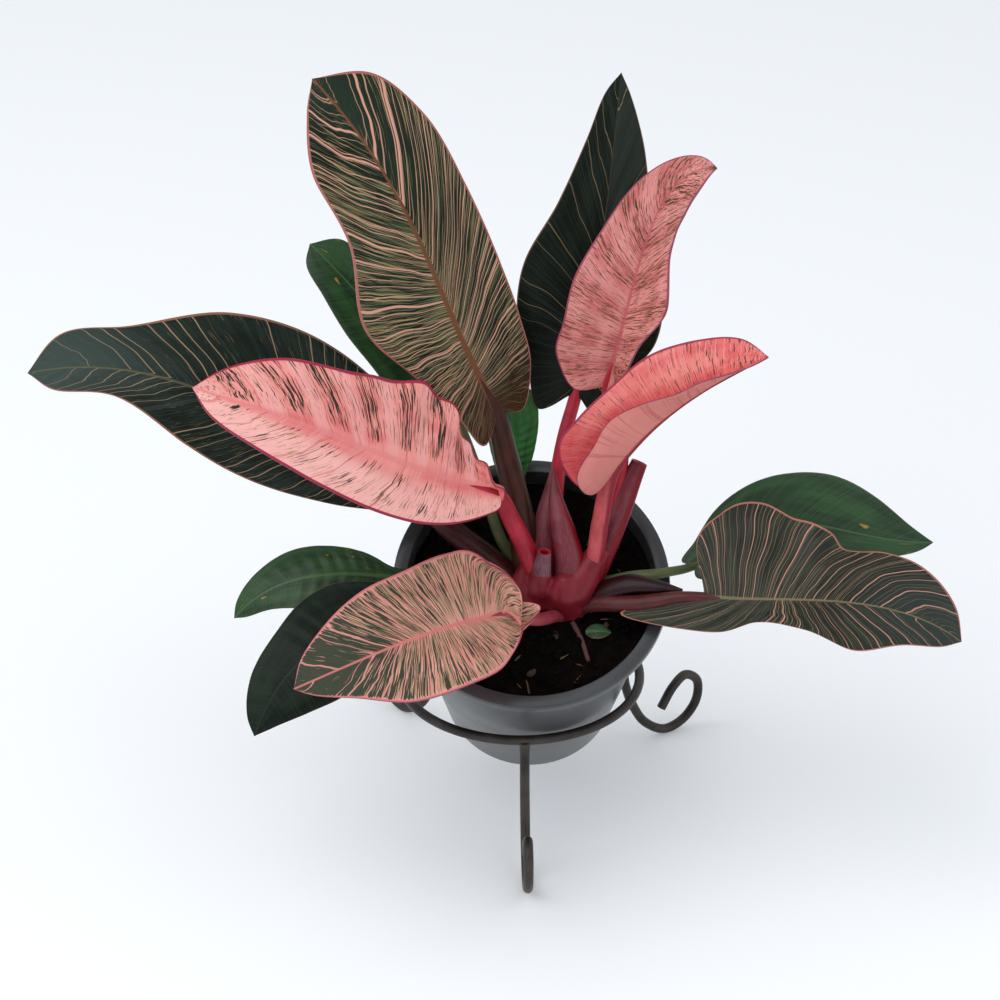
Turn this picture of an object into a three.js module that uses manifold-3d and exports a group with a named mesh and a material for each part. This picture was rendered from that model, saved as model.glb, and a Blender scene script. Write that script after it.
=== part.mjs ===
// Potted variegated philodendron in a wire stand, in millimetres, Z up.
// Built round the stand: its ring is centred on the Z axis, and the floor is Z = 0.
// The last lines shift the whole part so that the origin is the bottom centre of its box.

import * as THREE from 'three';
import { mergeVertices } from 'three/addons/utils/BufferGeometryUtils.js';
import Module from 'manifold-3d';

const wasm = await Module();
wasm.setup();

// Driving dimensions
const GAP = 0.3;

const POT = {
  rimRadius: 60,
  rimDepth: 4.5,
  neckRadius: 55.2,
  bottomRadius: 39.3,
  height: 111,
  wall: 1.3,
  floor: 1.6,
  tilt: 33,
  rimCentre: [4.6, -42.3, 132.3],
  holes: 6,
  holeRadius: 4,
  holeCircle: 27,
};

const SOIL = { below: 9.5, lump: 1.1 };

const ROD = 2.2;
const RING = { radius: 54.7, height: 58.2 };
const LEG = {
  bearings: { front: -88, right: 30, left: 133 },
  weldRadius: 3.1,
  sink: 0.25,
  // distance out from the ring's axis, and height of the rod's centre line
  path: [
    [54.7, 57.5], [56, 46], [57.5, 34], [62, 21], [69, 9.5], [80.6, 1.95],
    [91, 4.5], [98, 13], [98, 24], [91, 29], [84.5, 24.5], [78, 14.5],
  ],
};

const BLADE = { thickness: 1, ribs: 16, across: 3, sweep: 1.4 };
// where the half widths of a leaf are measured, as parts of its length
const STATIONS = [0.06, 0.2, 0.38, 0.58, 0.78, 0.93];

const tilt = THREE.MathUtils.degToRad(POT.tilt);
const potAxis = new THREE.Vector3(0, -Math.sin(tilt), Math.cos(tilt));
const potPlace = new THREE.Matrix4()
  .makeTranslation(...POT.rimCentre)
  .multiply(new THREE.Matrix4().makeRotationX(tilt));

// Each leaf: spine, four points on the midrib from its base to its tip;
// left and right, half widths at the stations, seen from above with the tip ahead;
// earLeft and earRight, how far the lobe reaches back past the base, and how far out;
// lift and curl, the side's slope at the midrib and its bend to the margin, in degrees,
// at the base, a third, two thirds and the tip; waves, folds of the margin.
const LEAVES = [
  {
    name: 'tall_striped',
    colour: '#3d4a3c',
    spine: [[-10, -23, 205], [-32, -23, 257], [-53, -14, 303], [-87, 14, 341]],
    left: [18, 26, 38, 29, 27, 12],
    right: [23, 27, 28, 28, 28, 22],
    earLeft: [8, 14],
    earRight: [6, 10],
    liftLeft: [10, 10, 8, 0],
    curlLeft: [-20, -10, 0, -10],
    liftRight: [10, 10, 8, 0],
    curlRight: [-10, -5, 0, -15],
    waves: [],
    petiole: {
      colour: '#4a3028',
      path: [[6, -34, 128], [4, -35, 134], [0, -30, 156], [-6, -24, 182]],
      radii: [6, 7, 6.2, 5.4, 4.6],
    },
  },
  {
    name: 'long_left',
    colour: '#24332c',
    spine: [[-42, -24, 162], [-99, -27, 198], [-152, -25, 222], [-210, -17, 220]],
    left: [11, 20, 27, 24, 12, 10],
    right: [29, 44, 50, 42, 22, 17],
    earLeft: [5, 8],
    earRight: [8, 12],
    liftLeft: [-20, -20, -10, 0],
    curlLeft: [-30, -30, -15, 0],
    liftRight: [0, 0, 0, 0],
    curlRight: [-15, -15, -10, 0],
    waves: [],
    petiole: {
      colour: '#4b2a2c',
      path: [[8, -40, 121], [2, -38, 125], [-12, -34, 137], [-30, -30, 151]],
      radii: [4.6, 5.6, 5.6, 5.2, 4.4],
    },
  },
  {
    name: 'pink_left',
    colour: '#e08f8d',
    spine: [[-9, -45, 177], [-50, -58, 199], [-86, -65, 219], [-135, -64, 237]],
    left: [11, 26, 32, 27, 19, 10],
    right: [7, 22, 34, 28, 23, 11],
    earLeft: [3, 6],
    earRight: [2, 5],
    liftLeft: [10, 5, 5, 0],
    curlLeft: [30, 20, 10, 0],
    liftRight: [30, 30, 30, 20],
    curlRight: [20, 20, 20, 0],
    waves: [{ side: 'right', height: 2.5, count: 3.5, from: 0.02, to: 0.6 }],
    petiole: {
      colour: '#93283a',
      path: [[8, -43, 130], [6, -44, 138], [2, -44, 150], [-4, -45, 164]],
      radii: [4.4, 4.6, 4.3, 4.1, 3.6],
    },
  },
  {
    name: 'dark_back',
    colour: '#1d2b26',
    spine: [[24, 3, 201], [32, 12, 248], [38, 27, 291], [43, 53, 329]],
    left: [23, 31, 32, 21, 12, 6],
    right: [16, 30, 30, 20, 13, 5],
    earLeft: [11, 15],
    earRight: [8, 11],
    liftLeft: [10, 10, 10, 10],
    curlLeft: [-20, 0, 0, 0],
    liftRight: [10, 10, 10, 10],
    curlRight: [-20, 0, 0, 0],
    waves: [],
    petiole: {
      colour: '#6b2632',
      path: [[18, -38, 124], [18, -34, 130], [15, -23, 145], [16, -11, 167], [19, -4, 183]],
      radii: [3.2, 3.6, 3.5, 3.3, 3.1, 2.8],
    },
  },
  {
    name: 'pink_right',
    colour: '#d98683',
    spine: [[36, -27, 219], [47, -20, 263], [59, -14, 298], [80, -19, 315]],
    left: [25, 25, 25, 19, 13, 7],
    right: [9, 13, 24, 16, 15, 12],
    earLeft: [6, 13],
    earRight: [8, 8],
    liftLeft: [10, 10, 10, 0],
    curlLeft: [-20, 0, 0, 0],
    liftRight: [40, 45, 25, 5],
    curlRight: [-20, 0, 10, 0],
    waves: [{ side: 'right', height: 2, count: 2, from: 0.1, to: 0.75 }],
    petiole: {
      colour: '#8b1f30',
      path: [[26, -42, 126], [29, -38, 134], [38, -31, 157], [43, -24, 180], [42, -24, 198]],
      radii: [3, 3.5, 3.4, 3.2, 3, 2.7],
    },
  },
  {
    name: 'rolled_young',
    colour: '#e07a78',
    spine: [[36, -41, 180], [54, -48, 209], [77, -54, 232], [101, -58, 248]],
    left: [26, 26, 25, 25, 19, 11],
    right: [21, 18, 16, 10, 6, 3],
    earLeft: [8, 8],
    earRight: [4, 6],
    liftLeft: [35, 40, 40, 30],
    curlLeft: [10, 0, 0, 0],
    liftRight: [80, 105, 85, 45],
    curlRight: [20, 30, 20, 0],
    waves: [],
    petiole: {
      colour: '#c65a62',
      path: [[27, -48, 126], [29, -46, 133], [32, -44, 146], [34, -42, 162]],
      radii: [3.6, 4.2, 4, 3.8, 3.4],
    },
  },
  {
    name: 'striped_front',
    colour: '#b98f7c',
    spine: [[-6, -77, 137], [-34, -95, 140], [-62, -109, 136], [-94, -116, 124]],
    left: [19, 28, 31, 28, 15, 6],
    right: [29, 31, 29, 27, 20, 11],
    earLeft: [14, 6],
    earRight: [5, 16],
    liftLeft: [10, 10, 5, 0],
    curlLeft: [-10, 0, 0, 0],
    liftRight: [10, 10, 10, 0],
    curlRight: [10, 0, 0, 0],
    waves: [],
    petiole: {
      colour: '#a4505a',
      path: [[17, -50, 119], [14, -58, 124], [8, -67, 128], [2, -73, 132]],
      radii: [2.4, 2.9, 2.9, 2.8, 2.5],
    },
  },
  {
    name: 'striped_right',
    colour: '#39453a',
    spine: [[78, -64, 138], [113, -72, 141], [151, -75, 139], [187, -74, 121]],
    left: [40, 43, 32, 25, 24, 13],
    right: [15, 10, 13, 20, 13, 7],
    earLeft: [7, 26],
    earRight: [36, 12],
    liftLeft: [15, 5, 0, 0],
    curlLeft: [0, 0, 0, 0],
    liftRight: [-25, -30, -30, -10],
    curlRight: [0, 0, 0, 0],
    waves: [],
    petiole: {
      colour: '#7a4a4c',
      path: [[24, -47, 121], [30, -49, 125], [49, -57, 130], [67, -62, 136]],
      radii: [3.2, 3.9, 3.7, 2.6, 2.2],
    },
  },
  {
    name: 'green_right',
    colour: '#335a38',
    spine: [[75, -38, 138], [109, -32, 155], [142, -32, 151], [180, -24, 141]],
    left: [8, 17, 26, 29, 21, 7],
    right: [13, 16, 17, 15, 9, 4],
    earLeft: [3, 5],
    earRight: [3, 5],
    liftLeft: [0, 0, 0, 0],
    curlLeft: [-20, -20, -20, -20],
    liftRight: [0, 0, 0, 0],
    curlRight: [-20, -20, -20, -20],
    waves: [],
    petiole: {
      colour: '#6d7450',
      path: [[26, -40, 124], [32, -40, 128], [47, -43, 134], [62, -43, 137]],
      radii: [2.6, 3.2, 3.4, 2.2, 1.9],
    },
  },
  {
    name: 'green_left',
    colour: '#35562f',
    spine: [[-51, -44.5, 135], [-78, -47.5, 139], [-103, -48, 134], [-124, -48, 117]],
    left: [11, 15, 15, 13, 8, 4],
    right: [5, 11, 15, 16, 11, 5],
    earLeft: [3, 5],
    earRight: [3, 4],
    liftLeft: [0, 0, 0, 0],
    curlLeft: [-20, -20, -20, -20],
    liftRight: [0, 0, 0, 0],
    curlRight: [-20, -20, -20, -20],
    waves: [],
    petiole: {
      colour: '#6d7450',
      path: [[9, -43, 118], [3, -42, 120], [-13, -45, 125], [-33, -48, 133]],
      radii: [2, 2.2, 2.2, 2, 1.8],
    },
  },
  {
    name: 'dark_front',
    colour: '#1c2c24',
    spine: [[-53, -60, 134], [-74, -80, 131], [-95, -94, 121], [-112, -107, 95]],
    left: [16, 20, 23, 23, 16, 6],
    right: [18, 24, 24, 18, 13, 6],
    earLeft: [4, 7],
    earRight: [4, 8],
    liftLeft: [0, 0, 0, 0],
    curlLeft: [-20, -20, -20, -20],
    liftRight: [0, 0, 0, 0],
    curlRight: [-20, -20, -20, -20],
    waves: [],
    petiole: {
      colour: '#5a3a36',
      path: [[10, -49, 118], [4, -50, 121], [-13, -55, 126], [-35, -59, 131]],
      radii: [2.2, 2.5, 2.5, 2.3, 2],
    },
  },
  {
    name: 'green_back',
    colour: '#36553a',
    spine: [[-30, 18, 188], [-50, 19, 214], [-71, 25, 238], [-92, 39, 255]],
    left: [15, 18, 17, 16, 12, 8],
    right: [15, 18, 19, 18, 15, 12],
    earLeft: [5, 7],
    earRight: [5, 7],
    liftLeft: [0, 0, 0, 0],
    curlLeft: [-20, -20, -20, -20],
    liftRight: [0, 0, 0, 0],
    curlRight: [-20, -20, -20, -20],
    waves: [],
    petiole: {
      colour: '#6f6a58',
      path: [[7, -36, 124], [2, -31, 129], [-8, -23, 141], [-16, -7, 158], [-24, 8, 175]],
      radii: [2.4, 2.7, 2.6, 2.4, 2.2, 1.9],
    },
  },
  {
    name: 'small_back',
    colour: '#3f7a3c',
    spine: [[-3, -5, 161], [-4, -1, 174], [-4, 3, 190], [-5, 7, 206]],
    left: [6, 8, 10, 11, 9, 5],
    right: [6, 9, 11, 12, 11, 6],
    earLeft: [2, 3],
    earRight: [2, 3],
    liftLeft: [0, 0, 0, 0],
    curlLeft: [-20, -20, -20, -20],
    liftRight: [0, 0, 0, 0],
    curlRight: [-20, -20, -20, -20],
    waves: [],
    petiole: {
      colour: '#5d6a42',
      path: [[8, -34, 126], [4, -29, 133], [-1, -17, 147]],
      radii: [1.8, 2, 1.9, 1.7],
    },
  },
];

// The bases of old and new leaf stalks, wrapped round the crown; flat is depth over width
const SHEATHS = [
  {
    name: 'sheath_middle',
    colour: '#7b4651',
    path: [[21, -46, 127], [21, -44, 143], [18, -40, 157], [15, -32, 168], [14, -25, 177]],
    radii: [6.8, 6.4, 5.2, 3, 0.7],
    flat: 0.8,
  },
  {
    name: 'sheath_left',
    colour: '#8f4a55',
    path: [[10, -41, 128], [10, -36, 142], [11, -28, 155], [13, -20, 165], [14, -15, 174]],
    radii: [6, 6.2, 5, 3, 0.7],
    flat: 0.7,
  },
  {
    name: 'sheath_right',
    colour: '#84505a',
    path: [[25, -44, 127], [33, -40, 141], [42, -32, 159], [48, -26, 174], [51, -24, 181]],
    radii: [6.4, 6.2, 5, 4.2, 3.6],
    flat: 0.75,
    hollow: { radius: 0.62, from: 0.45 },
  },
  {
    name: 'sheath_stub',
    colour: '#7a4350',
    path: [[8, -47, 130], [9, -48, 142], [10, -49, 151]],
    radii: [5, 4, 2.8],
    flat: 0.9,
    hollow: { radius: 0.6, from: 0.8 },
  },
  {
    name: 'sheath_low',
    colour: '#571a26',
    path: [[30, -46, 127], [47, -51, 136], [59, -55, 137], [69, -58, 137]],
    radii: [5, 4.6, 3, 0.7],
    flat: 0.7,
  },
];

const CROWN = {
  colour: '#7c2433',
  front: { path: [[19, -31, 102], [20, -38, 113], [20, -44, 124], [19.5, -48, 133], [19, -50, 140]],
    radii: [5, 8, 10, 8.6, 3] },
  left: { path: [[17, -31, 104], [9, -37, 115], [5, -42, 124], [4, -42, 133], [4, -42, 141]],
    radii: [5, 6.5, 8, 8.2, 4] },
};

const TWIG = { colour: '#4a2a2c', path: [[21, -48, 118], [26, -58, 112.5], [29, -67, 107]], radii: [1.2, 1.1, 0.9] };
const SEEDLING = { colour: '#3f6b34', base: [28, -55, 113.6], length: 11, half: 3.6, thickness: 0.8 };

// Solids: closed meshes joined and cut, and back

function toSolid(geometry) {
  const bare = new THREE.BufferGeometry();
  bare.setAttribute('position', geometry.getAttribute('position').clone());
  if (geometry.index) bare.setIndex(geometry.index.clone());
  const merged = mergeVertices(bare, 1e-4);
  const position = merged.getAttribute('position').array;
  const index = [...merged.index.array];
  const triangles = [];
  let volume = 0;
  for (let i = 0; i < index.length; i += 3) {
    const [a, b, c] = index.slice(i, i + 3);
    if (a === b || b === c || c === a) continue;
    triangles.push(a, b, c);
    const [p, q, r] = [a, b, c].map((k) => new THREE.Vector3().fromArray(position, 3 * k));
    volume += p.dot(q.cross(r)) / 6;
  }
  if (volume < 0) {
    for (let i = 0; i < triangles.length; i += 3) triangles.splice(i, 2, triangles[i + 1], triangles[i]);
  }
  return new wasm.Manifold(new wasm.Mesh({
    numProp: 3,
    vertProperties: new Float32Array(position),
    triVerts: new Uint32Array(triangles),
  }));
}

function toGeometry(solid) {
  const mesh = solid.getMesh();
  const geometry = new THREE.BufferGeometry();
  geometry.setAttribute('position', new THREE.BufferAttribute(new Float32Array(mesh.vertProperties), 3));
  geometry.setIndex([...mesh.triVerts]);
  geometry.computeVertexNormals();
  return geometry;
}

function largest(solid) {
  const pieces = solid.decompose();
  return pieces.reduce((best, piece) => (piece.volume() > best.volume() ? piece : best));
}

// Round bodies along a curve, with an oval section that lies flat to the pot's mouth

function limb({ path, radii, flat = 1 }, grow = 0, sides = 10, steps = 3 * (path.length - 1)) {
  const curve = new THREE.CatmullRomCurve3(path.map((p) => new THREE.Vector3(...p)));
  const vertices = [];
  const index = [];
  const centre = (t, shift) => {
    const p = curve.getPoint(t);
    return p.addScaledVector(curve.getTangent(t), shift);
  };
  for (let i = 0; i <= steps; i++) {
    const t = i / steps;
    const along = curve.getTangent(t);
    const up = potAxis.clone().addScaledVector(along, -potAxis.dot(along)).normalize();
    const out = new THREE.Vector3().crossVectors(up, along);
    const at = Math.min(t * (radii.length - 1), radii.length - 1.0001);
    const low = Math.floor(at);
    const radius = THREE.MathUtils.lerp(radii[low], radii[low + 1], at - low) + grow;
    const p = centre(t, i === 0 ? -grow : i === steps ? grow : 0);
    for (let k = 0; k < sides; k++) {
      const turn = (2 * Math.PI * k) / sides;
      const q = p.clone()
        .addScaledVector(out, radius * Math.cos(turn))
        .addScaledVector(up, (radius * flat + grow * (1 - flat)) * Math.sin(turn));
      vertices.push(q.x, q.y, q.z);
    }
  }
  const first = centre(0, -grow);
  const last = centre(1, grow);
  vertices.push(first.x, first.y, first.z, last.x, last.y, last.z);
  const start = (steps + 1) * sides;
  for (let k = 0; k < sides; k++) {
    const next = (k + 1) % sides;
    for (let i = 0; i < steps; i++) {
      const a = i * sides + k;
      const b = i * sides + next;
      index.push(a, b, b + sides, a, b + sides, a + sides);
    }
    index.push(start, next, k);
    index.push(start + 1, steps * sides + k, steps * sides + next);
  }
  const geometry = new THREE.BufferGeometry();
  geometry.setAttribute('position', new THREE.Float32BufferAttribute(vertices, 3));
  geometry.setIndex(index);
  return toSolid(geometry);
}

// Leaf blades

function cubicThrough(points, t) {
  const x = 3 * t;
  const weights = [
    -((x - 1) * (x - 2) * (x - 3)) / 6,
    (x * (x - 2) * (x - 3)) / 2,
    -(x * (x - 1) * (x - 3)) / 2,
    (x * (x - 1) * (x - 2)) / 6,
  ];
  const sum = new THREE.Vector3();
  points.forEach((p, i) => sum.addScaledVector(new THREE.Vector3(...p), weights[i]));
  return sum;
}

class Midrib extends THREE.Curve {
  constructor(points) {
    super();
    this.points = points;
    this.length = this.getLength();
  }

  getPoint(t) {
    return cubicThrough(this.points, t);
  }

  // point and direction at a distance from the base, straight on past both ends
  at(distance) {
    const u = THREE.MathUtils.clamp(distance / this.length, 0, 1);
    const along = this.getTangentAt(u);
    const point = this.getPointAt(u).addScaledVector(along, distance - u * this.length);
    return { point, along };
  }
}

function eased(values, t) {
  const x = THREE.MathUtils.clamp(t, 0, 1) * (values.length - 1);
  const low = Math.min(Math.floor(x), values.length - 2);
  return THREE.MathUtils.lerp(values[low], values[low + 1], THREE.MathUtils.smoothstep(x - low, 0, 1));
}

function margin(leaf, side, length) {
  const widths = leaf[side];
  const [back, out] = side === 'left' ? leaf.earLeft : leaf.earRight;
  const points = [new THREE.Vector3(0, 0, 0), new THREE.Vector3(-back, out, 0)];
  STATIONS.forEach((s, i) => points.push(new THREE.Vector3(s * length, widths[i], 0)));
  points.push(new THREE.Vector3(length, 0, 0));
  return new THREE.CatmullRomCurve3(points);
}

// A place on the leaf, x along the midrib and y out from it, bent into space
function bend(leaf, midrib, side, x, y) {
  const { point, along } = midrib.at(x);
  const part = x / midrib.length;
  const up = potAxis.clone().addScaledVector(along, -potAxis.dot(along)).normalize();
  const out = new THREE.Vector3().crossVectors(up, along).multiplyScalar(side === 'left' ? 1 : -1);
  const lift = THREE.MathUtils.degToRad(eased(side === 'left' ? leaf.liftLeft : leaf.liftRight, part));
  const curl = THREE.MathUtils.degToRad(eased(side === 'left' ? leaf.curlLeft : leaf.curlRight, part));
  const widest = Math.max(...leaf[side]);
  const rate = Math.abs(curl) < 1e-3 ? 1e-3 / widest : curl / widest;
  const across = (Math.sin(lift + rate * y) - Math.sin(lift)) / rate;
  let rise = (Math.cos(lift) - Math.cos(lift + rate * y)) / rate;
  for (const wave of leaf.waves) {
    if (wave.side !== side || part < wave.from || part > wave.to) continue;
    const g = (part - wave.from) / (wave.to - wave.from);
    const swell = wave.height * Math.sin(Math.PI * g) * Math.sin(2 * Math.PI * wave.count * g);
    rise += swell * (y / widest) ** 1.6;
  }
  return point.addScaledVector(out, across).addScaledVector(up, rise);
}

function blade(leaf, grow = 0) {
  const { ribs, across, sweep, thickness } = BLADE;
  const midrib = new Midrib(leaf.spine);
  const sheet = [];
  const faces = [];
  for (const side of ['left', 'right']) {
    const edge = margin(leaf, side, midrib.length);
    const first = sheet.length / 3;
    for (let i = 0; i <= ribs; i++) {
      const t = i / ribs;
      const root = new THREE.Vector2(midrib.length * t ** sweep, 0);
      const end = edge.getPointAt(t);
      const pull = new THREE.Vector2(root.x + (end.x - root.x) * 0.3, end.y * 0.55);
      const rib = new THREE.QuadraticBezierCurve(root, pull, new THREE.Vector2(end.x, end.y));
      for (let j = 0; j <= across; j++) {
        const flatPoint = rib.getPoint(j / across);
        const p = bend(leaf, midrib, side, flatPoint.x, flatPoint.y);
        sheet.push(p.x, p.y, p.z);
      }
    }
    for (let i = 0; i < ribs; i++) {
      for (let j = 0; j < across; j++) {
        const a = first + i * (across + 1) + j;
        const b = a + across + 1;
        if (side === 'left') faces.push(a, b, b + 1, a, b + 1, a + 1);
        else faces.push(a, b + 1, b, a, a + 1, b + 1);
      }
    }
  }
  return thicken(sheet, faces, thickness + 2 * grow, grow);
}

// A closed plate from an open sheet, with its edge moved out by grow
function thicken(positions, faces, thickness, grow = 0) {
  const loose = new THREE.BufferGeometry();
  loose.setAttribute('position', new THREE.Float32BufferAttribute(positions, 3));
  loose.setIndex(faces);
  const sheet = mergeVertices(loose, 1e-3);
  const corner = [...sheet.index.array];
  const triangles = [];
  for (let i = 0; i < corner.length; i += 3) {
    const [a, b, c] = corner.slice(i, i + 3);
    if (a !== b && b !== c && c !== a) triangles.push([a, b, c]);
  }
  sheet.setIndex(triangles.flat());
  sheet.computeVertexNormals();
  const place = sheet.getAttribute('position');
  const normal = sheet.getAttribute('normal');
  const count = place.count;
  const at = (k) => new THREE.Vector3().fromBufferAttribute(place, k);
  const up = (k) => new THREE.Vector3().fromBufferAttribute(normal, k);
  const edges = new Map();
  for (const [a, b, c] of triangles) {
    for (const [p, q] of [[a, b], [b, c], [c, a]]) {
      if (edges.has(`${q},${p}`)) edges.delete(`${q},${p}`);
      else edges.set(`${p},${q}`, [p, q]);
    }
  }
  const outward = new Map();
  for (const [p, q] of edges.values()) {
    for (const k of [p, q]) {
      const side = at(q).sub(at(p)).cross(up(k)).normalize();
      outward.set(k, (outward.get(k) ?? new THREE.Vector3()).add(side));
    }
  }
  const vertices = [];
  for (const half of [thickness / 2, -thickness / 2]) {
    for (let k = 0; k < count; k++) {
      const p = at(k).addScaledVector(up(k), half);
      if (grow > 0 && outward.has(k)) p.addScaledVector(outward.get(k).clone().normalize(), grow);
      vertices.push(p.x, p.y, p.z);
    }
  }
  const index = [];
  for (const [a, b, c] of triangles) index.push(a, b, c, a + count, c + count, b + count);
  for (const [p, q] of edges.values()) index.push(p, p + count, q + count, p, q + count, q);
  const geometry = new THREE.BufferGeometry();
  geometry.setAttribute('position', new THREE.Float32BufferAttribute(vertices, 3));
  geometry.setIndex(index);
  return toSolid(geometry);
}

// A leaf stalk, which runs on as a keel under the start of the midrib
function petiole(leaf, grow = 0) {
  const midrib = new Midrib(leaf.spine);
  const { path, radii } = leaf.petiole;
  const end = radii.at(-1);
  const under = (distance, drop) => {
    const { point, along } = midrib.at(distance);
    const up = potAxis.clone().addScaledVector(along, -potAxis.dot(along)).normalize();
    return point.addScaledVector(up, -drop).toArray();
  };
  const keel = 0.9;
  const seat = BLADE.thickness / 2 + GAP;
  const whole = [...path, under(0, end * 0.6), under(0.16 * midrib.length, keel + seat + 0.4)];
  return limb({ path: whole, radii: [...radii, keel], flat: 0.9 }, grow, 7, 2 * (whole.length - 1));
}

function sheath(piece, grow = 0) {
  const outer = limb(piece, grow, 10);
  if (!piece.hollow || grow > 0) return outer;
  const curve = new THREE.CatmullRomCurve3(piece.path.map((p) => new THREE.Vector3(...p)));
  const { radius, from } = piece.hollow;
  const reach = [from, (1 + from) / 2, 1];
  const bore = reach.map((t) => curve.getPoint(t).toArray());
  bore.push(curve.getPoint(1).addScaledVector(curve.getTangent(1), 2).toArray());
  const last = piece.radii.at(-1);
  const mouth = { path: bore, radii: [0.5, last * radius, last * radius, last * radius], flat: piece.flat };
  return outer.subtract(limb(mouth, 0, 8));
}

function crown(grow = 0) {
  return limb(CROWN.front, grow, 12).add(limb(CROWN.left, grow, 10));
}

// The pot, its soil and the stand

function turned(profile, segments) {
  const points = profile.map(([r, z]) => new THREE.Vector2(r, z));
  return new THREE.LatheGeometry(points, segments).rotateX(Math.PI / 2);
}

function potRadius(depth) {
  const part = (POT.height - depth) / (POT.height - POT.rimDepth);
  return THREE.MathUtils.lerp(POT.bottomRadius, POT.neckRadius, part);
}

function pot() {
  const { rimRadius, rimDepth, neckRadius, bottomRadius, height, wall, floor } = POT;
  const inside = height - floor;
  const shell = turned([
    [0, -height], [bottomRadius - 1, -height], [bottomRadius, -height + 1], [neckRadius, -rimDepth],
    [rimRadius - 0.6, -rimDepth], [rimRadius, -rimDepth + 0.6], [rimRadius, -0.8], [rimRadius - 0.8, 0],
    [neckRadius - wall + 1, 0], [neckRadius - wall, -1], [neckRadius - wall, -rimDepth],
    [potRadius(inside) - wall, -inside], [0, -inside],
  ], 44);
  let solid = toSolid(shell);
  for (let i = 0; i < POT.holes; i++) {
    const turn = (2 * Math.PI * i) / POT.holes;
    const drill = new THREE.CylinderGeometry(POT.holeRadius, POT.holeRadius, 4 * floor, 10)
      .rotateX(Math.PI / 2)
      .translate(POT.holeCircle * Math.cos(turn), POT.holeCircle * Math.sin(turn), -height);
    solid = solid.subtract(toSolid(drill));
  }
  return solid.transform(potPlace.elements);
}

function soilRelief(x, y) {
  return SOIL.lump * (Math.sin(0.23 * x + 1.1) * Math.cos(0.19 * y - 0.4) + 0.5 * Math.sin(0.41 * x - 0.37 * y));
}

function soil(stems) {
  const bottom = POT.height - POT.floor - GAP;
  const fit = POT.wall + GAP;
  const outer = potRadius(SOIL.below) - fit - 0.1;
  const rings = [1, 0.82, 0.62, 0.4, 0.2, 0].map((part) => part * outer);
  const heap = turned([
    [0, -bottom], [potRadius(bottom) - fit - 0.3, -bottom],
    ...rings.map((r) => [r, -SOIL.below]),
  ], 32);
  const place = heap.getAttribute('position');
  for (let i = 0; i < place.count; i++) {
    const [x, y, z] = [place.getX(i), place.getY(i), place.getZ(i)];
    if (z > -bottom / 2 && Math.hypot(x, y) < outer - 1) place.setZ(i, z + soilRelief(x, y));
  }
  let solid = toSolid(heap).transform(potPlace.elements);
  for (const stem of stems) solid = solid.subtract(stem);
  return largest(solid);
}

function ring(grow = 0) {
  return toSolid(new THREE.TorusGeometry(RING.radius, ROD + grow, 8, 52).translate(0, 0, RING.height));
}

function leg(bearing) {
  const turn = THREE.MathUtils.degToRad(bearing);
  const path = LEG.path.map(([r, z]) => [r * Math.cos(turn), r * Math.sin(turn), z]);
  const radii = [LEG.weldRadius, ...Array(2 * path.length).fill(ROD)];
  const rod = limb({ path, radii }, 0, 7, 30);
  const floor = new THREE.BoxGeometry(400, 400, 20).translate(0, 0, -10);
  return rod.subtract(ring(GAP)).subtract(toSolid(floor));
}

function seedling() {
  const { base, length, half, thickness } = SEEDLING;
  const outline = [[0, 0], [0.25, 0.8], [0.5, 1], [0.75, 0.7], [1, 0], [0.75, -0.7], [0.5, -1], [0.25, -0.8]];
  const positions = [base[0] + length / 2, base[1], base[2] + 0.6];
  const across = new THREE.Vector3(0, Math.cos(tilt), Math.sin(tilt));
  for (const [x, y] of outline) {
    positions.push(base[0] + x * length, base[1] + y * half * across.y, base[2] + y * half * across.z);
  }
  const faces = outline.flatMap((_, i) => [0, 1 + i, 1 + ((i + 1) % outline.length)].reverse());
  return thicken(positions, faces, thickness);
}

// Assembly: what stands first keeps its shape, and what comes later is cut clear of it

const plant = new THREE.Group();
const standing = [];

function show(name, solid, colour, roughness, metalness = 0) {
  const material = new THREE.MeshStandardMaterial({ color: colour, roughness, metalness });
  const mesh = new THREE.Mesh(toGeometry(solid), material);
  mesh.name = name;
  plant.add(mesh);
}

function grow(name, make, colour) {
  let solid = make(0);
  for (const other of standing) solid = solid.subtract(other);
  show(name, largest(solid), colour, 0.45);
  standing.push(make(GAP));
}

show('stand_ring', ring(), '#3a3633', 0.45, 0.9);
for (const [side, bearing] of Object.entries(LEG.bearings)) {
  show(`stand_leg_${side}`, largest(leg(bearing)), '#3a3633', 0.45, 0.9);
}
show('pot', pot(), '#55585a', 0.35);

for (const leaf of LEAVES) grow(`leaf_${leaf.name}`, (g) => blade(leaf, g), leaf.colour);
grow('crown', crown, CROWN.colour);
for (const piece of SHEATHS) grow(piece.name, (g) => sheath(piece, g), piece.colour);
for (const leaf of LEAVES) grow(`petiole_${leaf.name}`, (g) => petiole(leaf, g), leaf.petiole.colour);
grow('twig', (g) => limb(TWIG, g, 6), TWIG.colour);
const rooted = standing.slice(LEAVES.length);
const sprout = seedling();
show('seedling_leaf', sprout, SEEDLING.colour, 0.5);
show('soil', soil(rooted).subtract(sprout.translate(0, 0, -GAP)), '#16120f', 0.95);

const box = new THREE.Box3().setFromObject(plant, true);
const centre = box.getCenter(new THREE.Vector3());
plant.position.set(-centre.x, -centre.y, -box.min.z);
plant.updateMatrixWorld(true);

export default plant;
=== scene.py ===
# A potted variegated philodendron in a ring stand of bent rod, seen from a little above.
# Sizes are in millimetres, unless a name says otherwise.
import math
import random

import bpy
import numpy as np
from mathutils import Matrix, Vector


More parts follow.
